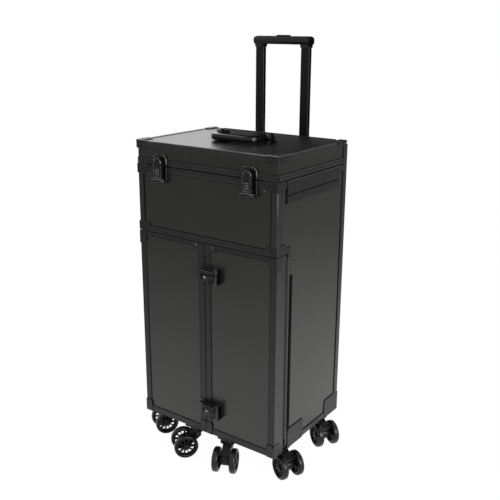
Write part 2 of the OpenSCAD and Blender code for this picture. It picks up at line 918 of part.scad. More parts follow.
// A latch lever: a flat face under a thumb roll with ridges, and a ridged finger piece beside it
module door_latch_lever(z) {
  h = door_latch_h / 2 - 3.4;
  out = front - door_latch_out;
  near = front - 4;
  roll = 7;
  finger = door_latch_pivot - 15;
  translate([0, 0, z]) difference() {
    union() {
      along_z(-h, h) translate([door_latch_pivot, door_latch_y]) circle(5);
      along_x(door_in + 0.8, door_latch_pivot) {
        rect([out + 10, -h], [near, h - roll]);
        rect([out + roll, 0], [near, h]);
        translate([out + roll, h - roll]) circle(roll);
      }
      along_x(finger, door_latch_pivot) polygon([[near, -h], [out + 8, -h], [out + 3, -h + 4],
        [out + 3, -h + 12], [out + 5, h - roll], [near, h - roll]]);
    }
    along_x(door_in, door_latch_pivot + 6) for (a = [92 : 32 : 188]) {
      translate([out + roll + roll * cos(a), h - roll + roll * sin(a)]) circle(1);
    }
    along_x(finger - 1, door_latch_pivot + 6) for (i = [0 : 2]) {
      translate([out + 3, -h + 5 + 3.5 * i]) circle(0.9);
    }
    along_z(-h - 1, h + 1) translate([door_latch_pivot, door_latch_y]) circle(2 + run_clear);
  }
}

module door_latch_lever_upper() {
  color(PLASTIC) door_latch_lever(z_under + latch_up_high);
}

module door_latch_lever_lower() {
  color(PLASTIC) door_latch_lever(z_under + latch_up_low);
}

module door_latch_keepers() {
  h = door_latch_h / 2;
  color(TRIM) for (z = [z_under + latch_up_high, z_under + latch_up_low]) {
    along_y(front - 2, front) round_rect([-17, z - h], [-door_in - 0.8, z + h], 2);
    along_y(front - 12, front - 1) rect([-12, z - h + 5], [-door_in - 0.8, z + h - 5]);
  }
}

// Trolley handle

// A rounded rectangle about a tube's middle
module tube_plan(w, d, r) {
  translate([tube_x, tube_y]) round_rect([-w / 2, -d / 2], [w / 2, d / 2], r);
}

module trolley_outer_tubes() {
  color(STEEL) both_sides() along_z(sleeve_low, sleeve_top) difference() {
    tube_plan(sleeve_w, sleeve_d, tube_r + tube_clear + sleeve_wall);
    tube_plan(tube_w + 2 * tube_clear, tube_d + 2 * tube_clear, tube_r + tube_clear);
  }
}

module trolley_brackets() {
  x = tube_x + sleeve_w / 2 + 6;
  fit = 0.1;
  color(PLASTIC) difference() {
    union() {
      block([-x, face_back, sleeve_top - 31], [x, bracket_back, sleeve_top + 4]);
      block([-x, face_back, sleeve_low - 10], [x, bracket_back, sleeve_low + 15]);
    }
    both_sides() {
      along_z(sleeve_low, sleeve_top) tube_plan(sleeve_w + 2 * fit, sleeve_d + 2 * fit, tube_r + 2.2);
      along_z(sleeve_top - 1, sleeve_top + 5)
        tube_plan(tube_w + 2 * tube_clear, tube_d + 2 * tube_clear, tube_r + tube_clear);
    }
  }
}

module trolley_inner_tubes() {
  color(STEEL) both_sides() along_z(tube_low, tube_top) difference() {
    tube_plan(tube_w, tube_d, tube_r);
    tube_plan(tube_w - 3, tube_d - 3, tube_r - 1.5);
  }
}

module trolley_grip() {
  fit = 0.05;
  y0 = tube_y - grip_d / 2;
  y1 = tube_y + grip_d / 2;
  color(PLASTIC) difference() {
    union() {
      intersection() {
        along_x(-grip_x, grip_x) round_rect([y0, grip_z0], [y1, grip_z1], 6);
        along_y(y0 - 1, y1 + 1) round_rect([-grip_x, grip_z0 - 10], [grip_x, grip_z1], 7);
      }
      both_sides() along_z(grip_z0 - 6, grip_z0 + 7) tube_plan(tube_w + 4, tube_d + 5, tube_r + 2);
    }
    both_sides() along_z(grip_z0 - 7, tube_top) tube_plan(tube_w + 2 * fit, tube_d + 2 * fit, tube_r);
    block([-button_w / 2 - 0.35, tube_y - button_d / 2 - 0.35, grip_z1 - 11],
      [button_w / 2 + 0.35, tube_y + button_d / 2 + 0.35, grip_z1 + 1]);
  }
}

module trolley_button() {
  color(PLASTIC) along_z(grip_z1 - 11 + button_travel + 0.5, grip_z1 + button_out)
    rect([-button_w / 2, tube_y - button_d / 2], [button_w / 2, tube_y + button_d / 2]);
}

// Casters: drawn with the swivel pin on Z and the axle trailing along +X

// The children put at a caster's stem and turned
module at_stem(stem, turn) {
  translate([stem[0], stem[1], 0]) rotate([0, 0, turn]) children();
}

module caster_mount(top) {
  along_z(z_king, top) round_rect([-mount_half, -mount_half], [mount_half, mount_half], 3);
  translate([0, 0, head_low + 2]) cylinder(r = king_r, h = z_king - head_low - 1);
}

module caster_mounts() {
  color(STEEL) for (p = [stem_front_left, stem_front_right, stem_back_left, stem_back_right]) {
    translate([p[0], p[1], 0]) caster_mount(z_mount);
  }
}

module caster_mount_door_left() {
  color(STEEL) translate([stem_door_left[0], stem_door_left[1], 0]) caster_mount(z_under);
}

module caster_mount_door_right() {
  color(STEEL) translate([stem_door_right[0], stem_door_right[1], 0]) caster_mount(z_under);
}

module caster_fork(braked) {
  lug = brake_half + 1.5;
  color(PLASTIC) difference() {
    union() {
      along_z(head_z, head_top) round_rect([-15, -17], [10, 17], 6);
      translate([0, 0, head_low]) cylinder(r = neck_r, h = head_z - head_low + 1);
      along_y(-web_half, web_half) {
        polygon([[-11, head_z + 2], [-11, head_low - 2], [trail - 9, wheel_r - 8], [trail, wheel_r],
          [trail + 6, wheel_r + 8], [trail + 3, head_low - 6], [10, head_z - 2.5]]);
        translate([trail, wheel_r]) circle(12);
      }
      if (braked) {
        for (s = [-1, 1]) {
          along_y(s * lug - 1.2, s * lug + 1.2) {
            translate([brake_x, brake_z]) circle(3.4);
            rect([brake_x, brake_z - 3.4], [-11, brake_z + 3.4]);
          }
        }
        translate([brake_x, 0, brake_z]) rotate([90, 0, 0]) cylinder(r = 1.6, h = 2 * lug, center = true);
      }
    }
    translate([0, 0, head_low + 1.4]) cylinder(r = king_r + run_clear, h = head_top - head_low);
    translate([trail, 0, wheel_r]) rotate([90, 0, 0])
      cylinder(r = axle_r + run_clear, h = 4 * web_half, center = true);
  }
}

// One wheel of a pair, with its middle on Z
module wheel() {
  crown = 4.6;
  tyre = 5.4;
  rim = wheel_r - tyre;
  difference() {
    union() {
      translate([0, 0, wheel_in]) rotate_extrude() {
        rect([rim, 1], [wheel_r - crown, wheel_w - 1]);
        rect([rim, crown], [wheel_r, wheel_w - crown]);
        for (z = [crown, wheel_w - crown]) {
          translate([wheel_r - crown, z]) circle(crown);
        }
        rect([rim - 2.4, 2.4], [rim + 1, wheel_w - 2.4]);
      }
      translate([0, 0, hub_in]) cylinder(r = hub_r, h = wheel_in + wheel_w - 1 - hub_in);
      for (i = [0 : spokes - 1]) {
        rotate(360 / spokes * i) block([hub_r - 1, -1.2, wheel_in + 4], [rim - 2, 1.2, wheel_in + wheel_w - 3]);
      }
    }
    translate([0, 0, hub_in - 1]) cylinder(r = axle_r + run_clear, h = wheel_in + wheel_w);
  }
}

module caster_wheels() {
  translate([trail, 0, wheel_r]) rotate([90, 0, 0]) {
    color(TREAD) {
      wheel();
      mirror([0, 0, 1]) wheel();
    }
    color(STEEL) cylinder(r = axle_r, h = wheel_pitch + wheel_w - 1, center = true);
  }
}

// The brake's pedal, which sticks out in front of the swivel pin
module caster_brake() {
  color(RED) difference() {
    union() {
      along_y(-brake_half, brake_half) {
        translate([brake_x, brake_z]) circle(3.2);
        polygon([[brake_x, brake_z + 3.2], [brake_x - 8, brake_z + 1.6], [brake_x - 8, brake_z - 2.4],
          [brake_x, brake_z - 3.2]]);
      }
      along_y(-15, 15) polygon([[brake_x - 6, brake_z + 2], [brake_x - 6, brake_z - 2.4],
        [brake_x - 18, brake_z - 5], [brake_x - 20, brake_z - 4.4], [brake_x - 20, brake_z - 2.4],
        [brake_x - 18, brake_z - 1]]);
    }
    translate([brake_x, 0, brake_z]) rotate([90, 0, 0])
      cylinder(r = 1.6 + run_clear, h = 40, center = true);
  }
}

module caster_fork_front_left() {
  at_stem(stem_front_left, turn_front_left) caster_fork(false);
}

module caster_fork_front_right() {
  at_stem(stem_front_right, turn_front_right) caster_fork(false);
}

module caster_fork_back_left() {
  at_stem(stem_back_left, turn_back_left) caster_fork(false);
}

module caster_fork_back_right() {
  at_stem(stem_back_right, turn_back_right) caster_fork(false);
}

module caster_fork_door_left() {
  at_stem(stem_door_left, turn_door_left) caster_fork(true);
}

module caster_fork_door_right() {
  at_stem(stem_door_right, turn_door_right) caster_fork(true);
}

module caster_wheels_front_left() {
  at_stem(stem_front_left, turn_front_left) caster_wheels();
}

module caster_wheels_front_right() {
  at_stem(stem_front_right, turn_front_right) caster_wheels();
}

module caster_wheels_back_left() {
  at_stem(stem_back_left, turn_back_left) caster_wheels();
}

module caster_wheels_back_right() {
  at_stem(stem_back_right, turn_back_right) caster_wheels();
}

module caster_wheels_door_left() {
  at_stem(stem_door_left, turn_door_left) caster_wheels();
}

module caster_wheels_door_right() {
  at_stem(stem_door_right, turn_door_right) caster_wheels();
}

module caster_brake_door_left() {
  at_stem(stem_door_left, turn_door_left) caster_brake();
}

module caster_brake_door_right() {
  at_stem(stem_door_right, turn_door_right) caster_brake();
}

side_panels();
back_panel();
floor_panel();
bin_deck();
cabinet_shelf();
front_panel();
rim_frame();
header_frame();
edge_angles();
door_jambs();
corner_brackets();
side_rails();
lid_latch_bases();
caster_mounts();
body_hinge_leaves();
trolley_outer_tubes();
trolley_brackets();
trolley_inner_tubes();
trolley_grip();
trolley_button();
lid_top_panel();
lid_wall_panels();
lid_frame();
lid_corners();
lid_hinge_leaf();
lid_latch_catches();
carry_handle_mounts();
carry_handle();
lid_latch_lever_left();
lid_latch_lever_right();
door_panel_left();
door_frame_left();
door_corners_left();
door_hinge_leaf_left();
door_latch_keepers();
caster_mount_door_left();
door_panel_right();
door_frame_right();
door_corners_right();
door_hinge_leaf_right();
door_latch_bases();
caster_mount_door_right();
door_latch_lever_upper();
door_latch_lever_lower();
caster_fork_front_left();
caster_wheels_front_left();
caster_fork_front_right();
caster_wheels_front_right();
caster_fork_back_left();
caster_wheels_back_left();
caster_fork_back_right();
caster_wheels_back_right();
caster_fork_door_left();
caster_wheels_door_left();
caster_brake_door_left();
caster_fork_door_right();
caster_wheels_door_right();
caster_brake_door_right();
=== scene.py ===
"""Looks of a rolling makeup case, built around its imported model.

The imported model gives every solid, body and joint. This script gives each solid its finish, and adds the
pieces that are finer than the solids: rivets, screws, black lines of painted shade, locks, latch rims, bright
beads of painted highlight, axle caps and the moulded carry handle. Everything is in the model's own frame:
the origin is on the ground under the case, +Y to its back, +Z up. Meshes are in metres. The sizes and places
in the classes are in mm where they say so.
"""
import json
import logging
import math
from dataclasses import dataclass, field, replace
from enum import Enum
from fnmatch import fnmatchcase
from typing import Any, Optional, Sequence, Union

import bmesh
import bpy
import numpy as np
from mathutils import Matrix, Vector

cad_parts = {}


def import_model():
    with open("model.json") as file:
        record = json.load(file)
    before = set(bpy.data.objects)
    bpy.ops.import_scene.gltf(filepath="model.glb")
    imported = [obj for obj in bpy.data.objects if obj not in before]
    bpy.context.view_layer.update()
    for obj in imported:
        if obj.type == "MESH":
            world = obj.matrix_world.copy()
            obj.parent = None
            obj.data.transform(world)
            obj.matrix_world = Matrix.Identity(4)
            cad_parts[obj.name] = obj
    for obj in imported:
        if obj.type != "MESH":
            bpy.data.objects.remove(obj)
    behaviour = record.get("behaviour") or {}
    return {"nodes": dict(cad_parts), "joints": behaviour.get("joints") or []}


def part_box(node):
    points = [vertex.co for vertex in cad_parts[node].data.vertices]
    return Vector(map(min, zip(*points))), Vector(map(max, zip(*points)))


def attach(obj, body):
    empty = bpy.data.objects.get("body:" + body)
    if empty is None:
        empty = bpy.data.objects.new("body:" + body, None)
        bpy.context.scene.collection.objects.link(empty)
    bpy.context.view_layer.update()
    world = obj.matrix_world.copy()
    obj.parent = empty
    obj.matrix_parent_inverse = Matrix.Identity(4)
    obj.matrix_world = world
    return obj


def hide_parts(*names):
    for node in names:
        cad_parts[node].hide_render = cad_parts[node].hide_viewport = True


MM = 0.001
LOG = logging.getLogger("makeup_case")
X, Y, Z = range(3)
Colour = Point = tuple[float, float, float]
Number = Union[int, float]
Span = tuple[float, float]
Spots = Sequence[Span]
Lines = Sequence[tuple[Span, Span]]


# Shader values and node graphs


class Wire:
    """A shader value: one output socket whose arithmetic adds Math nodes."""

    def __init__(self, graph: "Graph", socket: bpy.types.NodeSocket) -> None:
        """Keeps the graph and the socket."""
        self.graph = graph
        self.socket = socket

    def _math(self, operation: str, other: Union["Wire", Number], swapped: bool = False) -> "Wire":
        """A Math node of this value and another one, which comes first where swapped."""
        pair = (other, self) if swapped else (self, other)
        return self.graph.node("ShaderNodeMath", {"operation": operation}, {0: pair[0], 1: pair[1]})

    def __add__(self, other: Union["Wire", Number]) -> "Wire":
        """Sum."""
        return self._math("ADD", other)

    __radd__ = __add__

    def __sub__(self, other: Union["Wire", Number]) -> "Wire":
        """Difference."""
        return self._math("SUBTRACT", other)

    def __rsub__(self, other: Number) -> "Wire":
        """Difference from a number."""
        return self._math("SUBTRACT", other, True)

    def __mul__(self, other: Union["Wire", Number]) -> "Wire":
        """Product."""
        return self._math("MULTIPLY", other)

    __rmul__ = __mul__


class Graph:
    """The node graph of one material or world."""

    def __init__(self, tree: bpy.types.NodeTree) -> None:
        """Empties the tree and keeps it."""
        self.tree = tree
        tree.nodes.clear()

    def node(self, kind: str, settings: dict[str, Any], inputs: dict[Union[str, int], Any],
             output: Union[str, int] = 0) -> Wire:
        """Adds a node, sets it up and links it.

        Args:
            kind: the node's type.
            settings: attributes that are set first.
            inputs: values or wires by the name or number of the input socket.
            output: the name or number of the output socket.

        Returns:
            The chosen output, or the node's first input where it has no output.
        """
        made = self.tree.nodes.new(kind)
        for key, value in settings.items():
            setattr(made, key, value)
        for key, value in inputs.items():
            socket = made.inputs[key]
            if isinstance(value, Wire):
                self.tree.links.new(value.socket, socket)
            else:
                socket.default_value = value
        return Wire(self, made.outputs[output] if len(made.outputs) else made.inputs[0])

    def noise(self, coords: Wire, size: float, stretch: Point, detail: float) -> Wire:
        """Noise of a given grain.

        Args:
            coords: the coordinates that the pattern reads.
            size: the size of one grain in metres.
            stretch: how much longer the grain is along each axis.
            detail: the noise's octaves.

        Returns:
            The noise, from 0 to 1.
        """
        scale = tuple(1.0 / (size * s) for s in stretch)
        placed = self.node("ShaderNodeMapping", {"vector_type": "POINT"},
                           {"Vector": coords, "Scale": scale})
        return self.node("ShaderNodeTexNoise", {}, {"Vector": placed, "Scale": 1.0, "Detail": detail})


def blank(name: str) -> tuple[bpy.types.Material, Graph]:
    """A new material with an empty graph.

    Args:
        name: the material's name.

    Returns:
        The material and its graph.
    """
    made = bpy.data.materials.new(name)
    made.use_nodes = True
    return made, Graph(made.node_tree)


@dataclass(frozen=True)
class Weave:
    """The noises of a texture: clouds that move the colour, and a grain that makes the relief.

    Sizes are in mm, and long says how much longer a mark is upright than across. streak is the share of
    fine upright streaks in the clouds. A grain of 0 takes the finish's own.
    """

    cloud: float
    cloud_long: float = 1.0
    cloud_detail: float = 3.0
    streak: float = 0.0
    streak_size: float = 2.2
    streak_long: float = 60.0
    grain: float = 0.0
    grain_long: float = 1.0
    grain_detail: float = 3.0


class Texture(Enum):
    """How a finish varies: faced board, moulded grain, drawn metal, felt or polished moulding."""

    BOARD = Weave(90.0, 3.0, 2.0, streak=0.4, grain_detail=2.0)
    GRAIN = Weave(45.0)
    BRUSHED = Weave(30.0, grain_long=40.0, grain_detail=2.0)
    FELT = Weave(12.0, grain_detail=6.0)
    GLOSS = Weave(40.0, grain=6.0, grain_detail=1.0)


@dataclass(frozen=True)
class Finish:
    """One finish: its colour, gloss and fine relief.

    colour is linear, and grain and relief are in mm. mottle is the share by which the colour varies, and
    drift the amount by which the roughness does.
    """

    name: str
    slot: str
    colour: Colour
    roughness: float
    texture: Texture = Texture.GRAIN
    metallic: float = 0.0
    grain: float = 0.8
    relief: float = 0.015
    mottle: float = 0.15
    drift: float = 0.08
    coat: float = 0.0
    coat_roughness: float = 0.08
    specular: float = 0.5

    def material(self) -> bpy.types.Material:
        """The finish's material, made once."""
        known = bpy.data.materials.get(self.name)
        return known if known else self._build()

    def _pattern(self, graph: Graph, coords: Wire) -> tuple[Wire, Wire]:
        """The two patterns that a finish is made of.

        Args:
            graph: the material's graph.
            coords: the object coordinates.

        Returns:
            The cloud that moves the colour and the grain that makes the relief, each from 0 to 1.
        """
        weave = self.texture.value
        cloud = graph.noise(coords, weave.cloud * MM, (1, 1, weave.cloud_long), weave.cloud_detail)
        if weave.streak:
            streak = graph.noise(coords, weave.streak_size * MM, (1, 1, weave.streak_long),
                                 weave.cloud_detail)
            cloud = cloud * (1 - weave.streak) + streak * weave.streak
        size = (weave.grain or self.grain) * MM
        return cloud, graph.noise(coords, size, (1, 1, weave.grain_long), weave.grain_detail)

    def _build(self) -> bpy.types.Material:
        """Builds the finish's graph.

        Returns:
            The new material.
        """
        made, graph = blank(self.name)
        made.diffuse_color = (*self.colour, 1.0)
        coords = graph.node("ShaderNodeTexCoord", {}, {}, "Object")
        cloud, grain = self._pattern(graph, coords)
        dark = tuple(c * (1 - self.mottle) for c in self.colour)
        pale = tuple(min(1.0, c * (1 + self.mottle)) for c in self.colour)
        # Inputs 6 and 7 and output 2 of a Mix node are its colours
        colour = graph.node("ShaderNodeMix", {"data_type": "RGBA"},
                            {"Factor": cloud, 6: (*dark, 1.0), 7: (*pale, 1.0)}, 2)
        rough = (cloud - 0.5) * self.drift + (grain - 0.5) * self.drift + self.roughness
        bump = graph.node("ShaderNodeBump", {},
                          {"Strength": 1.0, "Distance": self.relief * MM, "Height": grain})
        shader = graph.node("ShaderNodeBsdfPrincipled", {}, {
            "Base Color": colour, "Roughness": rough, "Metallic": self.metallic, "Normal": bump,
            "Coat Weight": self.coat, "Coat Roughness": self.coat_roughness,
            "Specular IOR Level": self.specular})
        graph.node("ShaderNodeOutputMaterial", {}, {"Surface": shader})
        return made


class Kit:
    """Every finish of the case."""

    BOARD = Finish("satin black board", "panel", (0.0126, 0.0126, 0.0108), 0.29, Texture.BOARD,
                   grain=0.5, relief=0.010, mottle=0.2, drift=0.10, specular=0.65)
    # The lid's top board is the same board made darker: painted shade on the top
    LID = replace(BOARD, name="satin black board with painted lid shade", colour=(0.0055, 0.0055, 0.0055), specular=0.48)
    WALL = replace(BOARD, name="satin black wall board", colour=(0.0100, 0.0100, 0.0085), roughness=0.30,
                   specular=0.60)
    LINING = Finish("dark felt lining", "lining", (0.020, 0.020, 0.021), 0.92, Texture.FELT,
                    grain=0.35, relief=0.12, mottle=0.35, specular=0.2)
    TRIM = Finish("black anodised trim", "trim", (0.0135, 0.0137, 0.0140), 0.34, metallic=0.15,
                  grain=0.3, relief=0.006, specular=0.6)
    # A darker copy of the trim: painted shade on the door frames' fronts and on the door corners
    FRONT_SHADE = Finish("black anodised trim with painted front shade", "trim", (0.0105, 0.0107, 0.0110), 0.36, metallic=0.1,
                   grain=0.3, relief=0.006, specular=0.45)
    # Trim edges: rubbed wear, made brighter as painted highlight where light catches the rounded edges
    EDGE = Finish("rubbed trim edge with painted highlight", "trim", (0.055, 0.055, 0.055), 0.30, metallic=0.4,
                  grain=0.6, relief=0.006, mottle=0.6)
    # Bright metal for the edge beads: painted highlight
    BEAD_HIGHLIGHT = replace(EDGE, name="bright painted edge highlight", colour=(0.22, 0.22, 0.22), metallic=0.8)
    BRACKET = Finish("black pressed bracket", "trim", (0.0070, 0.0072, 0.0074), 0.38,
                     grain=0.7, relief=0.02, mottle=0.3, specular=0.36)
    # Near-black finishes for painted shade: strips and faces in corners, seams, grooves, recesses and keyways
    BLACK_SHADE = Finish("matt black painted shade", "trim", (0.0018, 0.0018, 0.0018), 0.85,
                  grain=0.4, relief=0.01, specular=0.1)
    SHADE = replace(BLACK_SHADE, name="dull black painted shade", colour=(0.0045, 0.0045, 0.0045), roughness=0.7,
                    specular=0.25)
    HINGE = Finish("black hinge steel", "hinge", (0.055, 0.055, 0.056), 0.32, metallic=0.5,
                   grain=0.4, relief=0.006)
    LATCH = Finish("black latch enamel", "latch", (0.006, 0.006, 0.0065), 0.22, metallic=0.1,
                   grain=0.7, relief=0.006, coat=0.3)
    # Bright metal for latch edges and rims: polished and nickel metal, made bright as painted highlight
    POLISHED_HIGHLIGHT = Finish("polished latch edge with painted highlight", "latch", (0.42, 0.42, 0.42), 0.22, metallic=0.9,
                      grain=0.6, relief=0.004, mottle=0.4)
    NICKEL_HIGHLIGHT = replace(POLISHED_HIGHLIGHT, name="dark nickel rim with painted highlight", colour=(0.11, 0.11, 0.11), roughness=0.24,
                     mottle=0.5)
    TUBE = Finish("black drawn tube", "tube", (0.002, 0.002, 0.0022), 0.30, Texture.BRUSHED,
                  grain=0.3, relief=0.004, specular=0.2)
    GLOSS = Finish("glossy black moulding", "handle", (0.003, 0.003, 0.0034), 0.14, Texture.GLOSS,
                   relief=0.02, drift=0.05, specular=0.28)
    MOULDING = Finish("grained black moulding", "moulding", (0.003, 0.003, 0.0032), 0.32,
                      grain=0.9, relief=0.03, specular=0.22)
    PLATED = Finish("plated steel", "caster_steel", (0.36, 0.36, 0.37), 0.34, Texture.BRUSHED, 0.9,
                    grain=0.4, relief=0.006)
    BLACKED = replace(PLATED, name="blackened steel", colour=(0.020, 0.020, 0.021), roughness=0.38,
                      metallic=0.5)
    TYRE = Finish("glossy black tyre", "wheel", (0.005, 0.005, 0.0053), 0.20, relief=0.012, specular=0.38)
    HUB = Finish("dark wheel core", "wheel", (0.003, 0.003, 0.0032), 0.30, specular=0.2)
    BRAKE = Finish("dark red lever", "brake", (0.16, 0.012, 0.014), 0.40, relief=0.02)
    RIVET = Finish("black rivet", "trim", (0.012, 0.012, 0.012), 0.24, metallic=0.3,
                   grain=0.5, relief=0.004)
    SCREW = replace(RIVET, name="dark plated screw", colour=(0.11, 0.11, 0.11), roughness=0.25,
                    metallic=0.85)
    LOCK = Finish("bright lock barrel", "caster_steel", (0.72, 0.72, 0.70), 0.22, metallic=0.95,
                  grain=0.5, relief=0.004)


# Shapes worked out as whole arrays


def turn(axis: str, degrees: float) -> np.ndarray:
    """A 4x4 turn about one axis, counter-clockwise seen from its tip."""
    return np.array(Matrix.Rotation(math.radians(degrees), 4, axis))


def shift(x: float, y: float, z: float) -> np.ndarray:
    """A 4x4 shift."""
    return np.array(Matrix.Translation((x, y, z)))


@dataclass
class Shape:
    """A mesh in the making: points, and faces with four and with three corners."""

    points: np.ndarray
    quads: np.ndarray
    tris: np.ndarray

    def __add__(self, other: "Shape") -> "Shape":
        """Both shapes as one.

        Args:
            other: the shape whose points and faces come last.

        Returns:
            The joined shape.
        """
        n = len(self.points)
        return Shape(np.vstack([self.points, other.points]), np.vstack([self.quads, other.quads + n]),
                     np.vstack([self.tris, other.tris + n]))

    def placed(self, *moves: np.ndarray) -> "Shape":
        """The shape after the moves, the last one first."""
        matrix = np.linalg.multi_dot([*moves, np.eye(4)]) if len(moves) > 1 else moves[0]
        return Shape(self.points @ matrix[:3, :3].T + matrix[:3, 3], self.quads, self.tris)

    def copies(self, matrices: Sequence[np.ndarray]) -> "Shape":
        """Copies of the shape: each place turns and shifts all its points.

        Args:
            matrices: one 4x4 place for each copy.

        Returns:
            All the copies as one shape.
        """
        places = np.asarray(matrices)
        n, count = len(self.points), len(places)
        points = np.einsum("kij,pj->kpi", places[:, :3, :3], self.points) + places[:, None, :3, 3]
        step = (np.arange(count) * n)[:, None, None]
        return Shape(points.reshape(-1, 3), (self.quads[None] + step).reshape(-1, 4),
                     (self.tris[None] + step).reshape(-1, 3))


def grid_faces(rows: int, columns: int, closed: bool = False) -> np.ndarray:
    """The quads of a grid of points that is stored row by row.

    Args:
        rows: the number of rows.
        columns: the number of points in a row.
        closed: True where a row is a closed ring.

    Returns:
        An array of quads, each (i, j), (i, j + 1), (i + 1, j + 1), (i + 1, j).
    """
    i, j = np.meshgrid(np.arange(rows - 1), np.arange(columns - (not closed)), indexing="ij")
    k, m = i + 1, (j + 1) % columns
    return np.stack([i * columns + j, i * columns + m, k * columns + m, k * columns + j], -1).reshape(-1, 4)


def rings(stack: np.ndarray) -> Shape:
    """A closed skin over a stack of rings.

    The side is the grid of the rings. Each end is a fan from the mean point of its ring.

    Args:
        stack: an array of rings, (ring, point, 3), counter-clockwise seen from beyond the last ring.

    Returns:
        The skin, with its faces outwards.
    """
    n, m = stack.shape[:2]
    points, quads = stack.reshape(-1, 3), grid_faces(n, m, True)
    a = np.arange(m)
    b = (a + 1) % m
    low = np.stack([np.full(m, n * m), b, a], -1)
    high = np.stack([np.full(m, n * m + 1), a + (n - 1) * m, b + (n - 1) * m], -1)
    return Shape(np.vstack([points, stack[0].mean(0), stack[-1].mean(0)]), quads, np.vstack([low, high]))


def lathe(profile: Spots, steps: int) -> Shape:
    """A profile turned about Z: the point at angle t is (r cos t, r sin t, z).

    Args:
        profile: (r, z) from the bottom up, in metres.
        steps: points round the turn.

    Returns:
        The turned skin with closed ends.
    """
    r, z = np.array(profile, float).T
    t = np.linspace(0, 2 * math.pi, steps, endpoint=False)
    stack = np.stack([np.outer(r, np.cos(t)), np.outer(r, np.sin(t)), np.repeat(z[:, None], steps, 1)], -1)
    return rings(stack)


def dome(radius: float, height: float, sunk: float, share: float, steps: int) -> Shape:
    """A domed head in mm: a share of a quarter ellipse turned about its axis, on a straight sunk rim."""
    t = np.linspace(0, math.pi / 2 * share, 5)
    return lathe([(radius * MM, -sunk * MM), *zip(radius * MM * np.cos(t), height * MM * np.sin(t))], steps)


def circle(steps: int) -> np.ndarray:
    """A circle of radius 1 about the origin, (point, 2)."""
    t = np.linspace(0, 2 * math.pi, steps, endpoint=False)
    return np.column_stack([np.cos(t), np.sin(t)])


def rounded(width: float, height: float, radius: float, steps: int = 3) -> np.ndarray:
    """A rectangle with round corners about the origin, counter-clockwise: each corner is a quarter circle.

    Args:
        width: the size along x.
        height: the size along y.
        radius: the corners' radius.
        steps: points in a corner.

    Returns:
        The outline, (point, 2).
    """
    radius = min(radius, width / 2 - 1e-6, height / 2 - 1e-6)
    t = np.linspace(0, math.pi / 2, steps)
    turns = t[None] + np.arange(4)[:, None] * math.pi / 2
    middle = np.array([[1, 1], [-1, 1], [-1, -1], [1, -1]]) * (width / 2 - radius, height / 2 - radius)
    return (middle[:, None] + radius * np.stack([np.cos(turns), np.sin(turns)], -1)).reshape(-1, 2)


def inset(outline: np.ndarray, depth: float) -> np.ndarray:
    """An outline moved inwards.

    Each corner moves along its bisector, by depth over the cosine of half its turn.

    Args:
        outline: a counter-clockwise outline, (point, 2).
        depth: how far its sides move, in metres.

    Returns:
        The smaller outline.
    """
    before, after = outline - np.roll(outline, 1, 0), np.roll(outline, -1, 0) - outline
    a = np.stack([-before[:, 1], before[:, 0]], -1) / np.linalg.norm(before, axis=1, keepdims=True)
    b = np.stack([-after[:, 1], after[:, 0]], -1) / np.linalg.norm(after, axis=1, keepdims=True)
    return outline + depth * (a + b) / (1 + np.sum(a * b, -1, keepdims=True)).clip(0.2)


def slab(outline: np.ndarray, low: float, high: float, edge: float, steps: int = 3) -> Shape:
    """A plate with an outline and round upper edges.

    The rings are the outline at the low face, then a quarter circle from the outline at high - edge to the
    outline inset by edge at high.

    Args:
        outline: counter-clockwise, (point, 2).
        low: the lower face's z.
        high: the upper face's z.
        edge: the radius of the upper edge.
        steps: rings in the round.

    Returns:
        The plate, with closed faces.
    """
    t = np.linspace(0, math.pi / 2, steps)
    depth, height = edge * (1 - np.cos(t)), high - edge + edge * np.sin(t)
    flat = [np.column_stack([outline, np.full(len(outline), low)])]
    flat += [np.column_stack([inset(outline, d) if d else outline, np.full(len(outline), h)])
             for d, h in zip(depth, height)]
    return rings(np.stack(flat))


def carried(section: np.ndarray, path: np.ndarray, side: np.ndarray) -> Shape:
    """A section carried along a path.

    At each path point the section's first axis is side and its second is tangent x side, the tangent being
    the difference between the neighbours.

    Args:
        section: (point, 2), or (path point, point, 2) where it changes on the way.
        path: (path point, 3).
        side: the first axis, (3,) or (path point, 3).

    Returns:
        The skin.
    """
    tangent = np.gradient(path, axis=0)
    tangent /= np.linalg.norm(tangent, axis=1, keepdims=True)
    first = np.broadcast_to(side, path.shape)
    second = np.cross(tangent, first)
    second /= np.linalg.norm(second, axis=1, keepdims=True)
    flat = np.broadcast_to(section, (len(path), *section.shape[-2:]))
    return rings(path[:, None] + flat[..., :1] * first[:, None] + flat[..., 1:] * second[:, None])


def piece(name: str, shape: Shape, finish: Finish, body: str, smooth: float = 40.0) -> bpy.types.Object:
    """Makes a shape an object that rides on a body.

    Args:
        name: the object's name.
        shape: its points and faces.
        finish: its finish.
        body: the body that it rides on.
        smooth: edges flatter than this many degrees are smooth.

    Returns:
        The new object.
    """
    mesh = bpy.data.meshes.new(name)
    mesh.from_pydata(shape.points.tolist(), [], shape.quads.tolist() + shape.tris.tolist())
    work = bmesh.new()
    work.from_mesh(mesh)
    bmesh.ops.remove_doubles(work, verts=work.verts, dist=1e-6)
    bmesh.ops.recalc_face_normals(work, faces=work.faces)
    work.to_mesh(mesh)
    work.free()
    mesh.shade_smooth()
    mesh.set_sharp_from_angle(angle=math.radians(smooth))
    mesh.materials.append(finish.material())
    made = bpy.data.objects.new(name, mesh)
    bpy.context.scene.collection.objects.link(made)
    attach(made, body)
    LOG.info("piece %s on %s: %d faces", name, body, len(mesh.polygons))
    return made


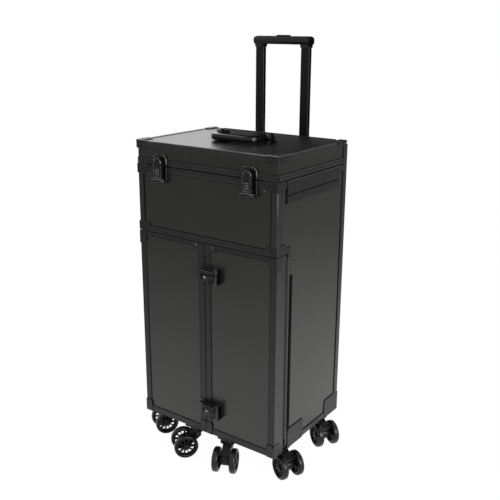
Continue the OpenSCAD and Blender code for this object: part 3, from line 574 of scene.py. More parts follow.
class Side(Enum):
    """A side of the case, as the axes of a drawing on it: across, up, and out of the case."""

    FRONT = ((1, 0, 0), (0, 0, 1), (0, -1, 0))
    BACK = ((-1, 0, 0), (0, 0, 1), (0, 1, 0))
    RIGHT = ((0, 1, 0), (0, 0, 1), (1, 0, 0))
    LEFT = ((0, -1, 0), (0, 0, 1), (-1, 0, 0))
    TOP = ((1, 0, 0), (0, 1, 0), (0, 0, 1))

    def place(self, level: float, a: float, b: float, degrees: float = 0.0) -> np.ndarray:
        """A 4x4 place on this side.

        Args:
            level: the side's coordinate along its own normal's axis, in mm.
            a: the first of the two other coordinates, in mm.
            b: the second one, in mm.
            degrees: a turn about the outward normal.

        Returns:
            The place, in metres, with its z axis out of the case.
        """
        along = int(np.argmax(np.abs(self.value[2])))
        made = np.eye(4)
        made[:3, :3] = np.array(self.value, float).T
        made[:3, 3] = np.insert(np.array([a, b], float), along, level) * MM
        return made @ turn("Z", degrees)


# The halves of the case: what is given for the right one is mirrored on the left one
HALVES = {1: Side.RIGHT, -1: Side.LEFT}


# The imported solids


@dataclass(frozen=True)
class Coat:
    """How the solids whose names fit a pattern are dressed; edge is their rounded edges' width in mm.

    The second finish, where there is one, goes on those edges: rubbed wear with painted highlight, a painted
    highlight, or painted shade.
    """

    names: str
    finish: Finish
    edge: float = 0.0
    edge_wear_sheen_shade: Optional[Finish] = None


# Second finishes on rounded edges: wear with painted highlight on trim, painted highlight on latches, painted
# shade on angles, jambs and door frames
COATS = (
    Coat("cabinet_shelf", Kit.LINING),
    # The lid's top board, darkened as painted shade
    Coat("lid_top_panel", Kit.LID),
    Coat("lid_wall_panels", Kit.WALL),
    Coat("*panel*", Kit.BOARD),
    Coat("bin_deck", Kit.BOARD),
    Coat("lid_frame", Kit.TRIM, 0.6, Kit.EDGE),
    Coat("caster_mount*", Kit.BLACKED, 0.5),
    Coat("caster_fork*", Kit.MOULDING, 1.4),
    Coat("caster_brake*", Kit.BRAKE, 0.8),
    # Latch edges in bright metal: painted highlights
    Coat("lid_latch_lever*", Kit.LATCH, 1.2, Kit.POLISHED_HIGHLIGHT),
    Coat("door_latch_lever*", Kit.LATCH, 0.25, Kit.NICKEL_HIGHLIGHT),
    Coat("lid_latch*", Kit.LATCH, 0.6, Kit.NICKEL_HIGHLIGHT),
    Coat("door_latch*", Kit.LATCH, 0.6),
    # Door corners in the darker trim of painted shade
    Coat("door_corners*", Kit.FRONT_SHADE, 0.5),
    Coat("corner_brackets", Kit.BRACKET, 0.5, Kit.EDGE),
    Coat("lid_corners", Kit.BRACKET, 0.5, Kit.EDGE),
    Coat("side_rails", Kit.BRACKET, 0.5, Kit.EDGE),
    Coat("trolley_*tubes", Kit.TUBE),
    Coat("trolley_grip", Kit.GLOSS, 2.2),
    Coat("trolley_b*", Kit.GLOSS, 0.8),
    Coat("carry_handle*", Kit.GLOSS, 0.8),
    Coat("*hinge*", Kit.HINGE),
    # Dull black rounded edges: painted shade
    Coat("edge_angles", Kit.TRIM, 1.0, Kit.SHADE),
    Coat("door_jambs", Kit.TRIM, 1.0, Kit.SHADE),
    Coat("door_frame*", Kit.TRIM, 1.0, Kit.SHADE),
    Coat("*", Kit.TRIM, 0.8, Kit.EDGE),
)


@dataclass
class Solids:
    """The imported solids: their finishes, softened edges and inner faces. Angles are in degrees."""

    nodes: dict[str, bpy.types.Object]
    weld: float = 0.01 * MM
    flat: float = 0.6
    sharp: float = 28.0
    segments: int = 2

    def dress(self, node: str) -> None:
        """Gives a solid the finish of the first coat that fits its name, rounds its edges and gives them the
        coat's second finish of wear, painted highlight or painted shade, where it has one.

        Args:
            node: the solid's name.
        """
        coat = next(coat for coat in COATS if fnmatchcase(node, coat.names))
        solid = self.nodes[node]
        solid.data.materials.clear()
        solid.data.materials.append(coat.finish.material())
        if coat.edge:
            joined = solid.modifiers.new("join triangles", "WELD")
            joined.merge_threshold = self.weld
            plain = solid.modifiers.new("flat faces", "DECIMATE")
            plain.decimate_type = "DISSOLVE"
            plain.angle_limit = math.radians(self.flat)
            soft = solid.modifiers.new("soft edges", "BEVEL")
            soft.width, soft.segments, soft.limit_method = coat.edge * MM, self.segments, "ANGLE"
            soft.angle_limit = math.radians(self.sharp)
            soft.harden_normals = True
            # The rounded edges get the coat's second finish: wear, painted highlight or painted shade
            if coat.edge_wear_sheen_shade:
                solid.data.materials.append(coat.edge_wear_sheen_shade.material())
                soft.material = 1
        LOG.info("solid %s: %s", node, coat.finish.name)

    def paint(self, node: str, finish: Finish, picked: np.ndarray) -> None:
        """Gives another finish to some faces of a solid.

        Args:
            node: the solid's name.
            finish: the finish.
            picked: True for each face that gets it.
        """
        mesh = self.nodes[node].data
        mesh.materials.append(finish.material())
        kinds = np.zeros(len(mesh.polygons), np.int32)
        mesh.polygons.foreach_get("material_index", kinds)
        mesh.polygons.foreach_set(
            "material_index", np.where(picked, len(mesh.materials) - 1, kinds).astype(np.int32))
        LOG.info("%s on %s: %d faces", finish.name, node, int(picked.sum()))

    def faces(self, node: str) -> tuple[np.ndarray, np.ndarray]:
        """Where a solid's faces are and which way they look.

        Args:
            node: the solid's name.

        Returns:
            The faces' middles and their outward normals, each (face, 3).
        """
        polygons = self.nodes[node].data.polygons
        middles, normals = np.zeros(3 * len(polygons)), np.zeros(3 * len(polygons))
        polygons.foreach_get("center", middles)
        polygons.foreach_get("normal", normals)
        return middles.reshape(-1, 3), normals.reshape(-1, 3)


@dataclass
class Boards:
    """The second finishes on boards and door frames: felt inside, painted shade on the frames' fronts and
    painted shade in the recesses at the door hinges.

    A face looks a way where its normal's share along that way is over facing. Heights and depths are in mm.
    """

    solids: Solids
    inwards: dict[str, Point] = field(default_factory=lambda: {
        "back_panel": (0, -1, 0), "front_panel": (0, 1, 0), "floor_panel": (0, 0, 1), "bin_deck": (0, 0, 1),
        "lid_top_panel": (0, 0, -1), "door_panel_left": (0, 1, 0), "door_panel_right": (0, 1, 0)})
    both_ways: tuple[str, ...] = ("side_panels", "lid_wall_panels")
    frames: tuple[str, ...] = ("door_frame_left", "door_frame_right")
    facing: float = 0.5
    square: float = 0.9
    front_zone: float = -100.0
    door_top: float = 530.0

    def build(self) -> None:
        """Lines every board, then darkens the frames' fronts and the recesses at the door hinges as painted
        shade.

        A plain board is lined where its normal points inwards. The side walls, which are in pairs, are
        lined where the normal points to the middle, across for the sides and back for the lid's front.
        """
        for node, way in self.inwards.items():
            _, normals = self.solids.faces(node)
            self.solids.paint(node, Kit.LINING, normals @ np.array(way, float) > self.facing)
        for node in self.both_ways:
            middles, normals = self.solids.faces(node)
            across = -np.sign(middles[:, X]) * normals[:, X] > self.facing
            back = (normals[:, Y] > self.facing) & (middles[:, Y] < self.front_zone * MM)
            self.solids.paint(node, Kit.LINING, across | back)
        # The frames' front faces get the darker trim as painted shade
        for node in self.frames:
            self.solids.paint(node, Kit.FRONT_SHADE, self.solids.faces(node)[1][:, Y] < -self.square)
        # The side boards' front faces in the hinge recesses are painted black as painted shade
        middles, normals = self.solids.faces("side_panels")
        recess = (normals[:, Y] < -self.square) & (middles[:, Z] < self.door_top * MM)
        self.solids.paint("side_panels", Kit.BLACK_SHADE, recess)


# Places on the case


def span(node: str, axis: int) -> Span:
    """Where a solid begins and ends along an axis, in mm."""
    low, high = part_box(node)
    return round(low[axis] / MM, 2), round(high[axis] / MM, 2)


def start_of(node: str, axis: int) -> Any:
    """A field that holds where a solid begins along an axis."""
    return field(default_factory=lambda: span(node, axis)[0])


def end_of(node: str, axis: int) -> Any:
    """A field that holds where a solid ends along an axis."""
    return field(default_factory=lambda: span(node, axis)[1])


def span_of(node: str, axis: int) -> Any:
    """A field that holds where a solid begins and ends along an axis."""
    return field(default_factory=lambda: span(node, axis))


@dataclass(frozen=True)
class Layout:
    """Where the boards, trim, plates and rails of the case end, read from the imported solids. In mm.

    An x is a distance from the middle plane. Fronts are negative, because +Y is the back.
    """

    board_x: float = end_of("side_panels", X)
    board_front: float = start_of("front_panel", Y)
    board_back: float = end_of("back_panel", Y)
    inner_x: float = end_of("bin_deck", X)
    trim_x: float = end_of("header_frame", X)
    trim_front: float = start_of("header_frame", Y)
    trim_back: float = end_of("edge_angles", Y)
    trim_z: Span = span_of("edge_angles", Z)
    plate_x: float = end_of("corner_brackets", X)
    plate_front: float = start_of("corner_brackets", Y)
    plate_back: float = end_of("corner_brackets", Y)
    header: Span = span_of("header_frame", Z)
    rim_low: float = end_of("front_panel", Z)
    seam: float = end_of("corner_brackets", Z)
    lid_low: float = start_of("lid_frame", Z)
    lid_wall: float = start_of("lid_wall_panels", Z)
    lid_top: float = end_of("lid_frame", Z)
    lid_plate: float = end_of("lid_corners", Z)
    rail_x: float = end_of("side_rails", X)
    rail_y: Span = span_of("side_rails", Y)
    rail_z: Span = span_of("side_rails", Z)
    door_x: Span = span_of("door_frame_right", X)
    door_z: Span = span_of("door_frame_right", Z)
    leaf_z: Span = span_of("door_hinge_leaf_right", Z)
    lid_leaf_x: float = end_of("lid_hinge_leaf", X)
    bracket_back: float = end_of("trolley_brackets", Y)
    bracket_z: Span = span_of("trolley_brackets", Z)


def half(s: int, side: Side, level: float, spots: Spots, degrees: float = 0.0) -> list[np.ndarray]:
    """Places on one half of the case.

    Args:
        s: 1 for the right half, and -1 for the left one, where the spots are mirrored.
        side: the side of the case; RIGHT stands for LEFT on the left half.
        level: the side's coordinate on the right half, in mm.
        spots: the two other coordinates on the right half, in mm.
        degrees: a turn about the outward normal.

    Returns:
        One 4x4 place for each spot.
    """
    if side is Side.RIGHT:
        return [HALVES[s].place(s * level, a, b, degrees) for a, b in spots]
    return [side.place(level, s * a, b, degrees) for a, b in spots]


@dataclass
class Fasteners:
    """Rivets and screws on the right half of the case, and their mirror images on the left one. In mm.

    A spot is (across, up) on the front and the back, (depth, up) on a side, and (across, depth) on the top.
    Rows are heights, and turns are in degrees. A leaf is a wing of a hinge, and its face is its depth.
    """

    at: Layout
    rivet_r: float = 2.1
    rivet_h: float = 0.9
    screw_r: float = 3.1
    screw_h: float = 1.3
    sunk: float = 0.3
    leg: float = 8.5
    back_rows: tuple[float, ...] = (572, 540, 472, 399, 332, 262, 190, 640)
    back_y: float = 130.0
    corner_z: float = 605.3
    corner_side: Spots = ((-130.5, 608.7),)
    front_plates: Spots = ((162, 677), (177, 671), (166, 546), (178, 538))
    side_plates: Spots = ((-128, 672), (-115, 676), (-128, 541), (-111, 546))
    feet: Spots = ((-76, 108), (-30, 110), (-30, 84), (88, 106), (130, 110), (130, 84))
    feet_out: float = 0.5
    back_feet: Spots = ((148, 104), (177, 108), (177, 84))
    wall: Spots = ((110, 628.3),)
    rail: Spots = ((-76.4, 667), (71.4, 667))
    ledge: Spots = ((95, 640),)
    ledge_in: float = 0.4
    lid_leaf_x: float = 140.0
    lid_leaf_face: float = 138.7
    lid_leaf_z: float = 711.8
    lid_leaf_count: int = 9
    leaf_x: float = 173.0
    leaf_end: float = 20.0
    leaf_count: int = 10
    leaf_step: float = 19.0
    jamb_face: float = -95.0
    door_face: float = -101.8
    lid_front: Spots = ((49.6, 717),)
    lid_front_plates: Spots = ((164, 723), (178, 723))
    lid_side: Spots = ((-4.9, 716),)
    lid_side_plates: Spots = ((-108, 723), (-131, 723), (102, 727))
    lid_top_plates: Spots = ((177, -128), (177, -108), (177, 99), (177, 120))
    door_rows: tuple[float, ...] = (420, 308, 195)
    door_y: float = -123.0
    door_plates: Spots = ((7.5, 506), (176, 512), (176, 92), (8.7, 92))
    door_side_plates: Spots = ((-128, 513), (-128, 90))
    front_screw: Spots = ((151, 661),)
    front_turn: float = 20.0
    door_screw: Spots = ((22.8, 522),)
    slot_turn: float = 15.0
    bracket_x: float = 34.0
    bracket_in: Span = (12.5, 17.5)

    def rivet(self) -> Shape:
        """A domed head."""
        return dome(self.rivet_r, self.rivet_h, self.sunk, share=0.92, steps=14)

    def screw(self) -> Shape:
        """A pan head: straight, then rounded over, with a cross sunk in its flat top.

        The top is a fan from a low middle point, and four of its 24 rays are pulled down, which leaves a
        cross.

        Returns:
            The head, with its axis along z.
        """
        r, h = self.screw_r * MM, self.screw_h * MM
        head = lathe([(r, -self.sunk * MM), (r, 0.4 * h), (0.92 * r, 0.8 * h), (0.75 * r, h), (0.66 * r, h),
                      (0.2 * r, h)], steps=24)
        ray = np.arctan2(head.points[:, Y], head.points[:, X])
        reach = np.hypot(head.points[:, X], head.points[:, Y])
        cut = (np.abs(np.sin(2 * ray)) < 0.3) & (reach < 0.7 * r) & (head.points[:, Z] > 0.9 * h)
        head.points[:, Z] -= np.where(cut, 0.6 * h, 0.0)
        return head

    def build(self) -> None:
        """Sets the rivets and screws on every body."""
        at, front, side, back = self.at, Side.FRONT, Side.RIGHT, Side.BACK
        edge_x = at.trim_x - self.leg
        leaf = np.linspace(at.leaf_z[0] + self.leaf_end, at.leaf_z[1] - self.leaf_end, self.leaf_count)
        between = (leaf + self.leaf_step)[:-1]
        case = ((front, at.trim_front, ((edge_x, self.corner_z),)),
                (front, at.plate_front, self.front_plates),
                (front, self.jamb_face, [(self.leaf_x, z) for z in leaf]),
                (side, at.trim_x, [*self.corner_side, *((self.back_y, z) for z in self.back_rows)]),
                (side, at.plate_x, self.side_plates), (side, at.trim_x + self.feet_out, self.feet),
                (side, at.board_x, self.wall), (side, at.rail_x, self.rail),
                (side, at.rail_x - self.ledge_in, self.ledge),
                (back, at.trim_back, [(edge_x, z) for z in self.back_rows]),
                (back, at.plate_back, self.back_feet))
        lid = ((front, at.board_front, self.lid_front), (front, at.plate_front, self.lid_front_plates),
               (side, at.board_x, self.lid_side), (side, at.plate_x, self.lid_side_plates),
               (Side.TOP, at.lid_plate, self.lid_top_plates))
        door = ((front, at.trim_front, [(edge_x, z) for z in self.door_rows]),
                (front, at.plate_front, self.door_plates),
                (side, at.trim_x, [(self.door_y, z) for z in self.door_rows]),
                (side, at.plate_x, self.door_side_plates),
                (back, self.door_face, [(self.leaf_x, z) for z in between]))
        row = [back.place(self.lid_leaf_face, x, self.lid_leaf_z)
               for x in np.linspace(-self.lid_leaf_x, self.lid_leaf_x, self.lid_leaf_count)]
        rivet, screw = self.rivet(), self.screw()
        both = [place for s in HALVES for group in case for place in half(s, *group)]
        piece("case_rivets", rivet.copies(both + row), Kit.RIVET, "cabinet")
        rises = (at.bracket_z[0] + self.bracket_in[0], at.bracket_z[1] - self.bracket_in[1])
        screws = [place for s in HALVES
                  for place in half(s, front, at.board_front, self.front_screw, self.front_turn)
                  + half(s, back, at.bracket_back, [(self.bracket_x, z) for z in rises], self.slot_turn)]
        piece("case_screws", screw.copies(screws), Kit.SCREW, "cabinet")
        both = [place for s in HALVES for group in lid for place in half(s, *group)]
        piece("lid_rivets", rivet.copies(both), Kit.RIVET, "lid")
        for s, way in HALVES.items():
            body = f"door_{way.name.lower()}"
            places = [place for group in door for place in half(s, *group)]
            piece(f"{body}_rivets", rivet.copies(places), Kit.RIVET, body)
            turned = half(s, front, at.plate_front, self.door_screw, self.slot_turn)
            piece(f"{body}_screw", screw.copies(turned), Kit.SCREW, body)


@dataclass(frozen=True)
class Strip:
    """A straight strip with rounded upper edges. In mm; overrun and corner are shares of its width."""

    width: float
    height: float
    sunk: float = 0.2
    edge: float = 0.35
    overrun: float = 0.5
    corner: float = 0.3

    def lay(self, side: Side, level: float, a: Span, b: Span, width: float = 0.0) -> Shape:
        """The strip from a to b: a rounded outline, with its upper edge rounded over.

        Args:
            side: the side of the case that it lies on.
            level: that side's coordinate.
            a: one end, as the two other coordinates.
            b: the other end.
            width: its width where it isn't the usual one.

        Returns:
            The strip.
        """
        wide = (width or self.width) * MM
        first, last = side.place(level, *a), side.place(level, *b)
        run = (last[:3, 3] - first[:3, 3]) @ first[:3, :2]
        middle = side.place(level, (a[0] + b[0]) / 2, (a[1] + b[1]) / 2,
                            math.degrees(math.atan2(run[1], run[0])))
        outline = rounded(float(np.hypot(*run)) + wide * self.overrun, wide, self.corner * wide)
        return slab(outline, -self.sunk * MM, self.height * MM, self.edge * MM).placed(middle)

    def ring(self, side: Side, level: float, low: Span, high: Span) -> Shape:
        """Four strips round an opening, just inside it.

        Args:
            side: the side of the case that they lie on.
            level: that side's coordinate.
            low: the opening's corner with the smaller coordinates.
            high: the corner with the greater ones.

        Returns:
            The four strips.
        """
        w = self.width / 2
        (a, b), (c, d) = (low[0] + w, low[1] + w), (high[0] - w, high[1] - w)
        return (self.lay(side, level, (a, b), (c, b)) + self.lay(side, level, (a, d), (c, d))
                + self.lay(side, level, (a, b), (a, d)) + self.lay(side, level, (c, b), (c, d)))

    def sides(self, level: float, lines: Lines, width: float = 0.0) -> list[Shape]:
        """Strips along the same lines on both sides of the case; a line's ends are (depth, up)."""
        return [self.lay(way, s * level, a, b, width) for s, way in HALVES.items() for a, b in lines]


@dataclass
class ShadeLines:
    """Painted shade: black strips in the corners between the boards and the trim, along the seams and in the
    grooves and hinge recesses, where shade falls. In mm.

    The legs are the widths of the trim on a board. A recess is (depth, width), and a fold of the side rail
    is (how far under its face, how far over its lower edge).
    """

    at: Layout
    plain: Strip = Strip(1.8, 1.1)
    thin: Strip = Strip(1.2, 0.3)
    flat: Strip = Strip(1.8, 0.4)
    slim: Strip = Strip(1.2, 0.9)
    fine: float = 1.0
    leg: float = 15.0
    back_leg: float = 17.0
    door_leg: float = 10.0
    end: float = 1.0
    groove_out: float = 0.8
    groove_rises: Span = (4.0, 8.0)
    groove_front: float = -137.0
    rim_groove: float = 7.5
    seam_w: float = 2.0
    header_end: float = -86.0
    side_end: float = 120.0
    rim_end: float = 121.0
    foot_top: float = 121.0
    foot_lines: Lines = (
        ((-78, 120.9), (-24, 120.9)), ((-84.6, 114.5), (-78.5, 120.6)), ((-21.1, 90), (-21.1, 117)),
        ((76.1, 90), (76.1, 114)), ((76.5, 114.5), (82.5, 120.5)), ((83, 120.9), (121, 120.9)))
    sill_y: Span = (-21.7, 76.7)
    sill_x: float = 122.0
    leaf_low: float = 698.9
    rail_in: float = 0.5
    rail_w: float = 1.6
    rail_fold: Span = (1.0, 18.0)
    rail_shade: Span = (0.4, 16.6)
    recess_z: Span = (122.0, 478.0)
    board_recess: Span = (-89.7, 7.8)
    jamb_recess: Span = (-81.2, 8.8)
    lid_front: float = -136.0
    lid_in: float = 0.5
    tabs: Spots = ((17.4, 1.0), (166.4, 184.6))
    tab_z: Span = (75.5, 105.6)
    tab_r: float = 6.0
    tab_sunk: float = 0.3
    tab_out: float = 0.45

    def front_boards(self) -> list[Shape]:
        """Round the upper front board, along the grooves of its trim and along the seam.

        Returns:
            The painted shade lines on the case's front.
        """
        at, front, half_w = self.at, Side.FRONT, self.plain.width / 2
        inner, reach = at.trim_x - self.leg, at.trim_x - self.end
        corner, low, high = inner - half_w, at.header[1], at.rim_low
        made = [self.plain.lay(front, at.board_front, (s * corner, low), (s * corner, high))
                for s in HALVES]
        made += [self.plain.lay(front, at.board_front, (-inner, z), (inner, z), wide)
                 for z, wide in ((low + half_w, self.plain.width), (high - self.fine / 2, self.fine))]
        made += [self.thin.lay(front, at.board_front - self.groove_out, (-reach, z), (reach, z))
                 for z in (high + self.rim_groove, *(at.header[0] + rise for rise in self.groove_rises))]
        return made + [
            self.flat.lay(front, at.trim_front, (-reach, at.seam), (reach, at.seam), self.seam_w)]

    def side_boards(self) -> list[Shape]:
        """Round the side boards, feet and rails, along the grooves and seams, and in the hinge recesses.

        Returns:
            The painted shade lines on both sides of the case.
        """
        at, half_w, low, high = self.at, self.plain.width / 2, self.at.header[1], self.at.rim_low
        nose, tail = at.trim_front + self.leg + half_w, at.trim_back - self.back_leg - half_w
        below, sill, top = high - self.fine / 2, self.sill(), at.trim_z[1] - self.plain.width
        (start, stop), foot = at.rail_y, at.rail_z[0]
        made = self.plain.sides(at.board_x, [
            *self.foot_lines, ((nose, low), (nose, high)),
            ((nose, low + half_w), (self.header_end, low + half_w)),
            *(((y, foot), (y, high - self.fine)) for y in (start - half_w, stop + half_w)),
            ((tail, self.foot_top), (tail, top)), ((self.sill_y[0], sill), (self.sill_y[1], sill))])
        made += self.plain.sides(at.board_x, [
            ((nose, below), (start, below)), ((stop, below), (self.rim_end, below)),
            ((start, foot - self.fine / 2), (stop, foot - self.fine / 2))], self.fine)
        made += self.thin.sides(at.board_x + self.groove_out, [
            ((self.groove_front, at.header[0] + rise), (self.header_end, at.header[0] + rise))
            for rise in self.groove_rises])
        for strip, (under, rise) in ((self.thin, self.rail_fold), (self.flat, self.rail_shade)):
            ends = ((start + self.rail_in, foot + rise), (stop - self.rail_in, foot + rise))
            made += strip.sides(at.rail_x - under, [ends], self.rail_w)
        seam = ((at.trim_front + self.end, at.seam), (self.side_end, at.seam))
        made += self.flat.sides(at.trim_x, [seam], self.seam_w)
        for level, (y, wide) in ((at.inner_x, self.board_recess), (at.board_x, self.jamb_recess)):
            made += self.flat.sides(level, [((y, self.recess_z[0]), (y, self.recess_z[1]))], wide)
        return made

    def back_boards(self) -> list[Shape]:
        """Round the back board, under the lid's hinge and over the lower trim.

        Returns:
            The painted shade lines on the case's back.
        """
        at, sill, top = self.at, self.sill(), self.at.trim_z[1] - self.plain.width
        edge = at.trim_x - self.back_leg - self.plain.width / 2
        lines = [((s * edge, self.foot_top), (s * edge, top)) for s in HALVES]
        lines += [((-x, z), (x, z)) for x, z in ((at.lid_leaf_x, self.leaf_low), (self.sill_x, sill))]
        return [self.plain.lay(Side.BACK, at.board_back, a, b) for a, b in lines]

    def sill(self) -> float:
        """The height of the strips over the lower trim."""
        return self.at.trim_z[0] + self.leg + self.plain.width / 2

    def lid_boards(self) -> list[Shape]:
        """Along the groove in the lid's rim, and over the rim.

        Returns:
            The painted shade lines on the lid.
        """
        at = self.at
        middle, over = (at.lid_low + at.lid_wall) / 2, at.lid_wall + self.fine / 2
        reach, edge = at.trim_x - self.end, at.board_x - self.lid_in
        made = [self.thin.lay(Side.FRONT, at.board_front - self.groove_out,
                              (-reach, middle), (reach, middle)),
                self.plain.lay(Side.FRONT, at.board_front, (-edge, over), (edge, over), self.fine)]
        made += self.plain.sides(at.board_x, [((self.lid_front, over), (self.side_end, over))], self.fine)
        groove = ((self.groove_front, middle), (self.side_end, middle))
        return made + self.thin.sides(at.board_x + self.groove_out, [groove])

    def tab(self, s: int, inner: float, outer: float) -> Shape:
        """A thin line of painted shade round a round-cornered tab on a door's front.

        A flat section is carried up the tab's inner edge, round a quarter circle and along its top.

        Args:
            s: 1 on the right door, -1 on the left one.
            inner: the distance of the tab's upright edge from the middle of the case.
            outer: the distance where its top ends.

        Returns:
            The line.
        """
        foot, top = self.tab_z
        lean, r = math.copysign(1.0, outer - inner), self.tab_r
        t = np.linspace(0, math.pi / 2, 7)
        x = np.concatenate([[inner], inner + lean * r * (1 - np.cos(t)), [outer]])
        z = np.concatenate([[foot], top - r + r * np.sin(t), [top]])
        low, high, half_w = -self.tab_sunk, self.tab_out, self.fine / 2
        section = np.array([[low, -half_w], [high, -half_w], [high, half_w], [low, half_w]])
        path = np.column_stack([s * x, np.full(len(x), self.at.trim_front), z])
        return carried(section * MM, path * MM, np.array([0.0, -1.0, 0.0]))

    def build(self) -> None:
        """Lays the painted shade lines of every body."""
        at = self.at
        case = self.front_boards() + self.side_boards() + self.back_boards()
        # Black strips of painted shade along the case's corners, seams and grooves
        piece("case_seals", sum(case[1:], case[0]), Kit.BLACK_SHADE, "cabinet")
        lid = self.lid_boards()
        piece("lid_seals", sum(lid[1:], lid[0]), Kit.BLACK_SHADE, "lid")
        foot, top = at.door_z[0] + self.leg, at.door_z[1] - self.door_leg
        for s, way in HALVES.items():
            body = f"door_{way.name.lower()}"
            low, high = sorted((s * (at.door_x[0] + self.leg), s * (at.door_x[1] - self.leg)))
            # A dull black ring of painted shade round the door's board, and black lines of painted shade
            # round its tabs
            ring = self.slim.ring(Side.FRONT, at.board_front, (low, foot), (high, top))
            piece(f"{body}_seals", ring, Kit.SHADE, body)
            tabs = [self.tab(s, *ends) for ends in self.tabs]
            piece(f"{body}_tab_lines", tabs[0] + tabs[1], Kit.BLACK_SHADE, body)


@dataclass
class CarryHandle:
    """The moulded carry handle: a bow of changing width with a boss and a pin at each end. In mm."""

    half: float = 52.5
    pivot: float = 8.0
    grip: float = -37.0
    corner: float = 17.0
    level: float = 740.5
    arm_w: float = 15.0
    arm_length: float = 18.0
    grip_w: float = 26.0
    thick: float = 15.0
    squareness: float = 4.2
    boss_half: float = 7.5
    boss_edge: float = 0.3
    boss_round: float = 1.2
    pin_r: float = 4.0
    pin_out: float = 8.0
    pin_edge: float = 0.4

    def path(self, steps: int = 14) -> np.ndarray:
        """The bow's middle line, from the right pivot round to the left one.

        Each half is a straight arm, then a quarter circle of radius corner, then half of the straight grip.
        The left half is the right one mirrored.

        Args:
            steps: points in each of the three stretches.

        Returns:
            The points, (point, 3), in mm.
        """
        t = np.linspace(0, 1, steps, endpoint=False)[:, None]
        turn_at = np.array([self.half - self.corner, self.grip + self.corner])
        arm = np.array([self.half, self.pivot]) * (1 - t) + np.array([self.half, turn_at[1]]) * t
        angle = -t * math.pi / 2
        bend = turn_at + self.corner * np.hstack([np.cos(angle), np.sin(angle)])
        bar = np.array([turn_at[0], self.grip]) * (1 - t) + np.array([0, self.grip]) * t
        right = np.vstack([arm, bend, bar])
        both = np.vstack([right, [[0, self.grip]], right[::-1] * (-1, 1)])
        return np.column_stack([both, np.full(len(both), self.level)])

    def bow(self) -> Shape:
        """The bow: a superellipse section carried along the path.

        The section's point at angle u is (a |cos u|^(2/n), b |sin u|^(2/n)) with the signs kept. b grows
        from half the arm's width to half the grip's as a smooth step of how far the path has come forward.

        Returns:
            The bow's skin.
        """
        path = self.path()
        u = np.linspace(0, 2 * math.pi, 28, endpoint=False)
        power = 2 / self.squareness
        round_x, round_y = (np.sign(f) * np.abs(f) ** power for f in (np.cos(u), np.sin(u)))
        start = self.pivot - self.arm_length
        k = ((start - path[:, Y]) / (start - self.grip)).clip(0, 1)
        width = self.arm_w / 2 + (self.grip_w - self.arm_w) / 2 * k * k * (3 - 2 * k)
        section = np.stack([np.broadcast_to(self.thick / 2 * round_x, (len(path), len(u))),
                            width[:, None] * round_y[None]], -1)
        return carried(section * MM, path * MM, np.array([0.0, 0.0, 1.0]))

    def boss(self) -> Shape:
        """An eye at the right end of the bow with its pin: a turned profile, laid along X.

        Returns:
            The eye and the pin as one skin.
        """
        r, pin = self.thick / 2, self.pin_r
        a, b = self.half - self.boss_half, self.half + self.boss_half
        end, edge, turned = b + self.pin_out, self.boss_edge, self.boss_round
        profile = np.array([(0.6 * r, a), (0.9 * r, a + edge), (r, a + turned), (r, b - turned),
                            (0.9 * r, b - edge), (pin, b), (pin, end - self.pin_edge), (0.7 * pin, end)])
        return lathe(profile * MM, steps=32).placed(shift(0, self.pivot * MM, self.level * MM), turn("Y", 90))

    def build(self) -> None:
        """The whole handle, which stands for its plain solid."""
        left = self.boss().placed(turn("Z", 180), shift(0, -2 * self.pivot * MM, 0))
        made = piece("carry_bow", self.bow() + self.boss() + left, Kit.GLOSS, "carry_handle", smooth=50)
        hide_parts("carry_handle")


@dataclass
class LatchRims:
    """The raised rims of the lid latches' plates, on the lid and on the body, in dark nickel that is partly
    painted highlight along the plates' edges. In mm.

    A run is how far a rim runs in, as a share of the plate's cut corner; over 1 it goes on along the
    plate's end.
    """

    cut: float = 7.0
    thick: float = 1.1
    foot_in: float = 1.0
    catch_run: float = 1.8
    base_run: float = 0.55

    def rim(self, half_w: float, face: float, foot: float, tip: float, run: float) -> Shape:
        """A rim up both sides of a plate and along its slanted corners.

        A circle is carried along the plate's edge: straight from foot, then slanted inwards by the cut as
        far as tip, and then on along the end.

        Args:
            half_w: half of the distance between the two sides.
            face: the y of the plate's face.
            foot: the height where the rim begins.
            tip: the height of the plate's other end.
            run: how far the rim runs in.

        Returns:
            Two mirrored rims about the plate's middle.
        """
        x = np.array([0, 0, 0.02, min(run, 0.98)] + [1.0, run] * (run > 1)) * self.cut
        z = tip + math.copysign(1.0, foot - tip) * (self.cut - x).clip(0)
        z[0] = foot
        ring = self.thick * circle(10)
        both = [carried(ring * MM, np.column_stack([s * (half_w - x), 0 * x + face, z]) * MM,
                        np.array([0.0, -1.0, 0.0])) for s in HALVES]
        return both[0] + both[1]

    def build(self) -> None:
        """The rims of both latches, about the middles of their levers."""
        middle, face = sum(span("lid_latch_lever_right", X)) / 2, span("lid_latch_catches", Y)[0]
        half_w = span("lid_latch_catches", X)[1] - middle - self.thick
        catch_low, catch_high = span("lid_latch_catches", Z)
        base_low, base_high = span("lid_latch_bases", Z)
        catch = self.rim(half_w, face, catch_low + self.foot_in, catch_high - self.thick, self.catch_run)
        base = self.rim(half_w, face, base_high - self.foot_in, base_low + self.thick, self.base_run)
        spots = [shift(s * middle * MM, 0, 0) for s in HALVES]
        # Nickel rims: raised edges whose bright metal is partly painted highlight
        piece("catch_rims", catch.copies(spots), Kit.NICKEL_HIGHLIGHT, "lid")
        piece("base_rims", base.copies(spots), Kit.NICKEL_HIGHLIGHT, "cabinet")


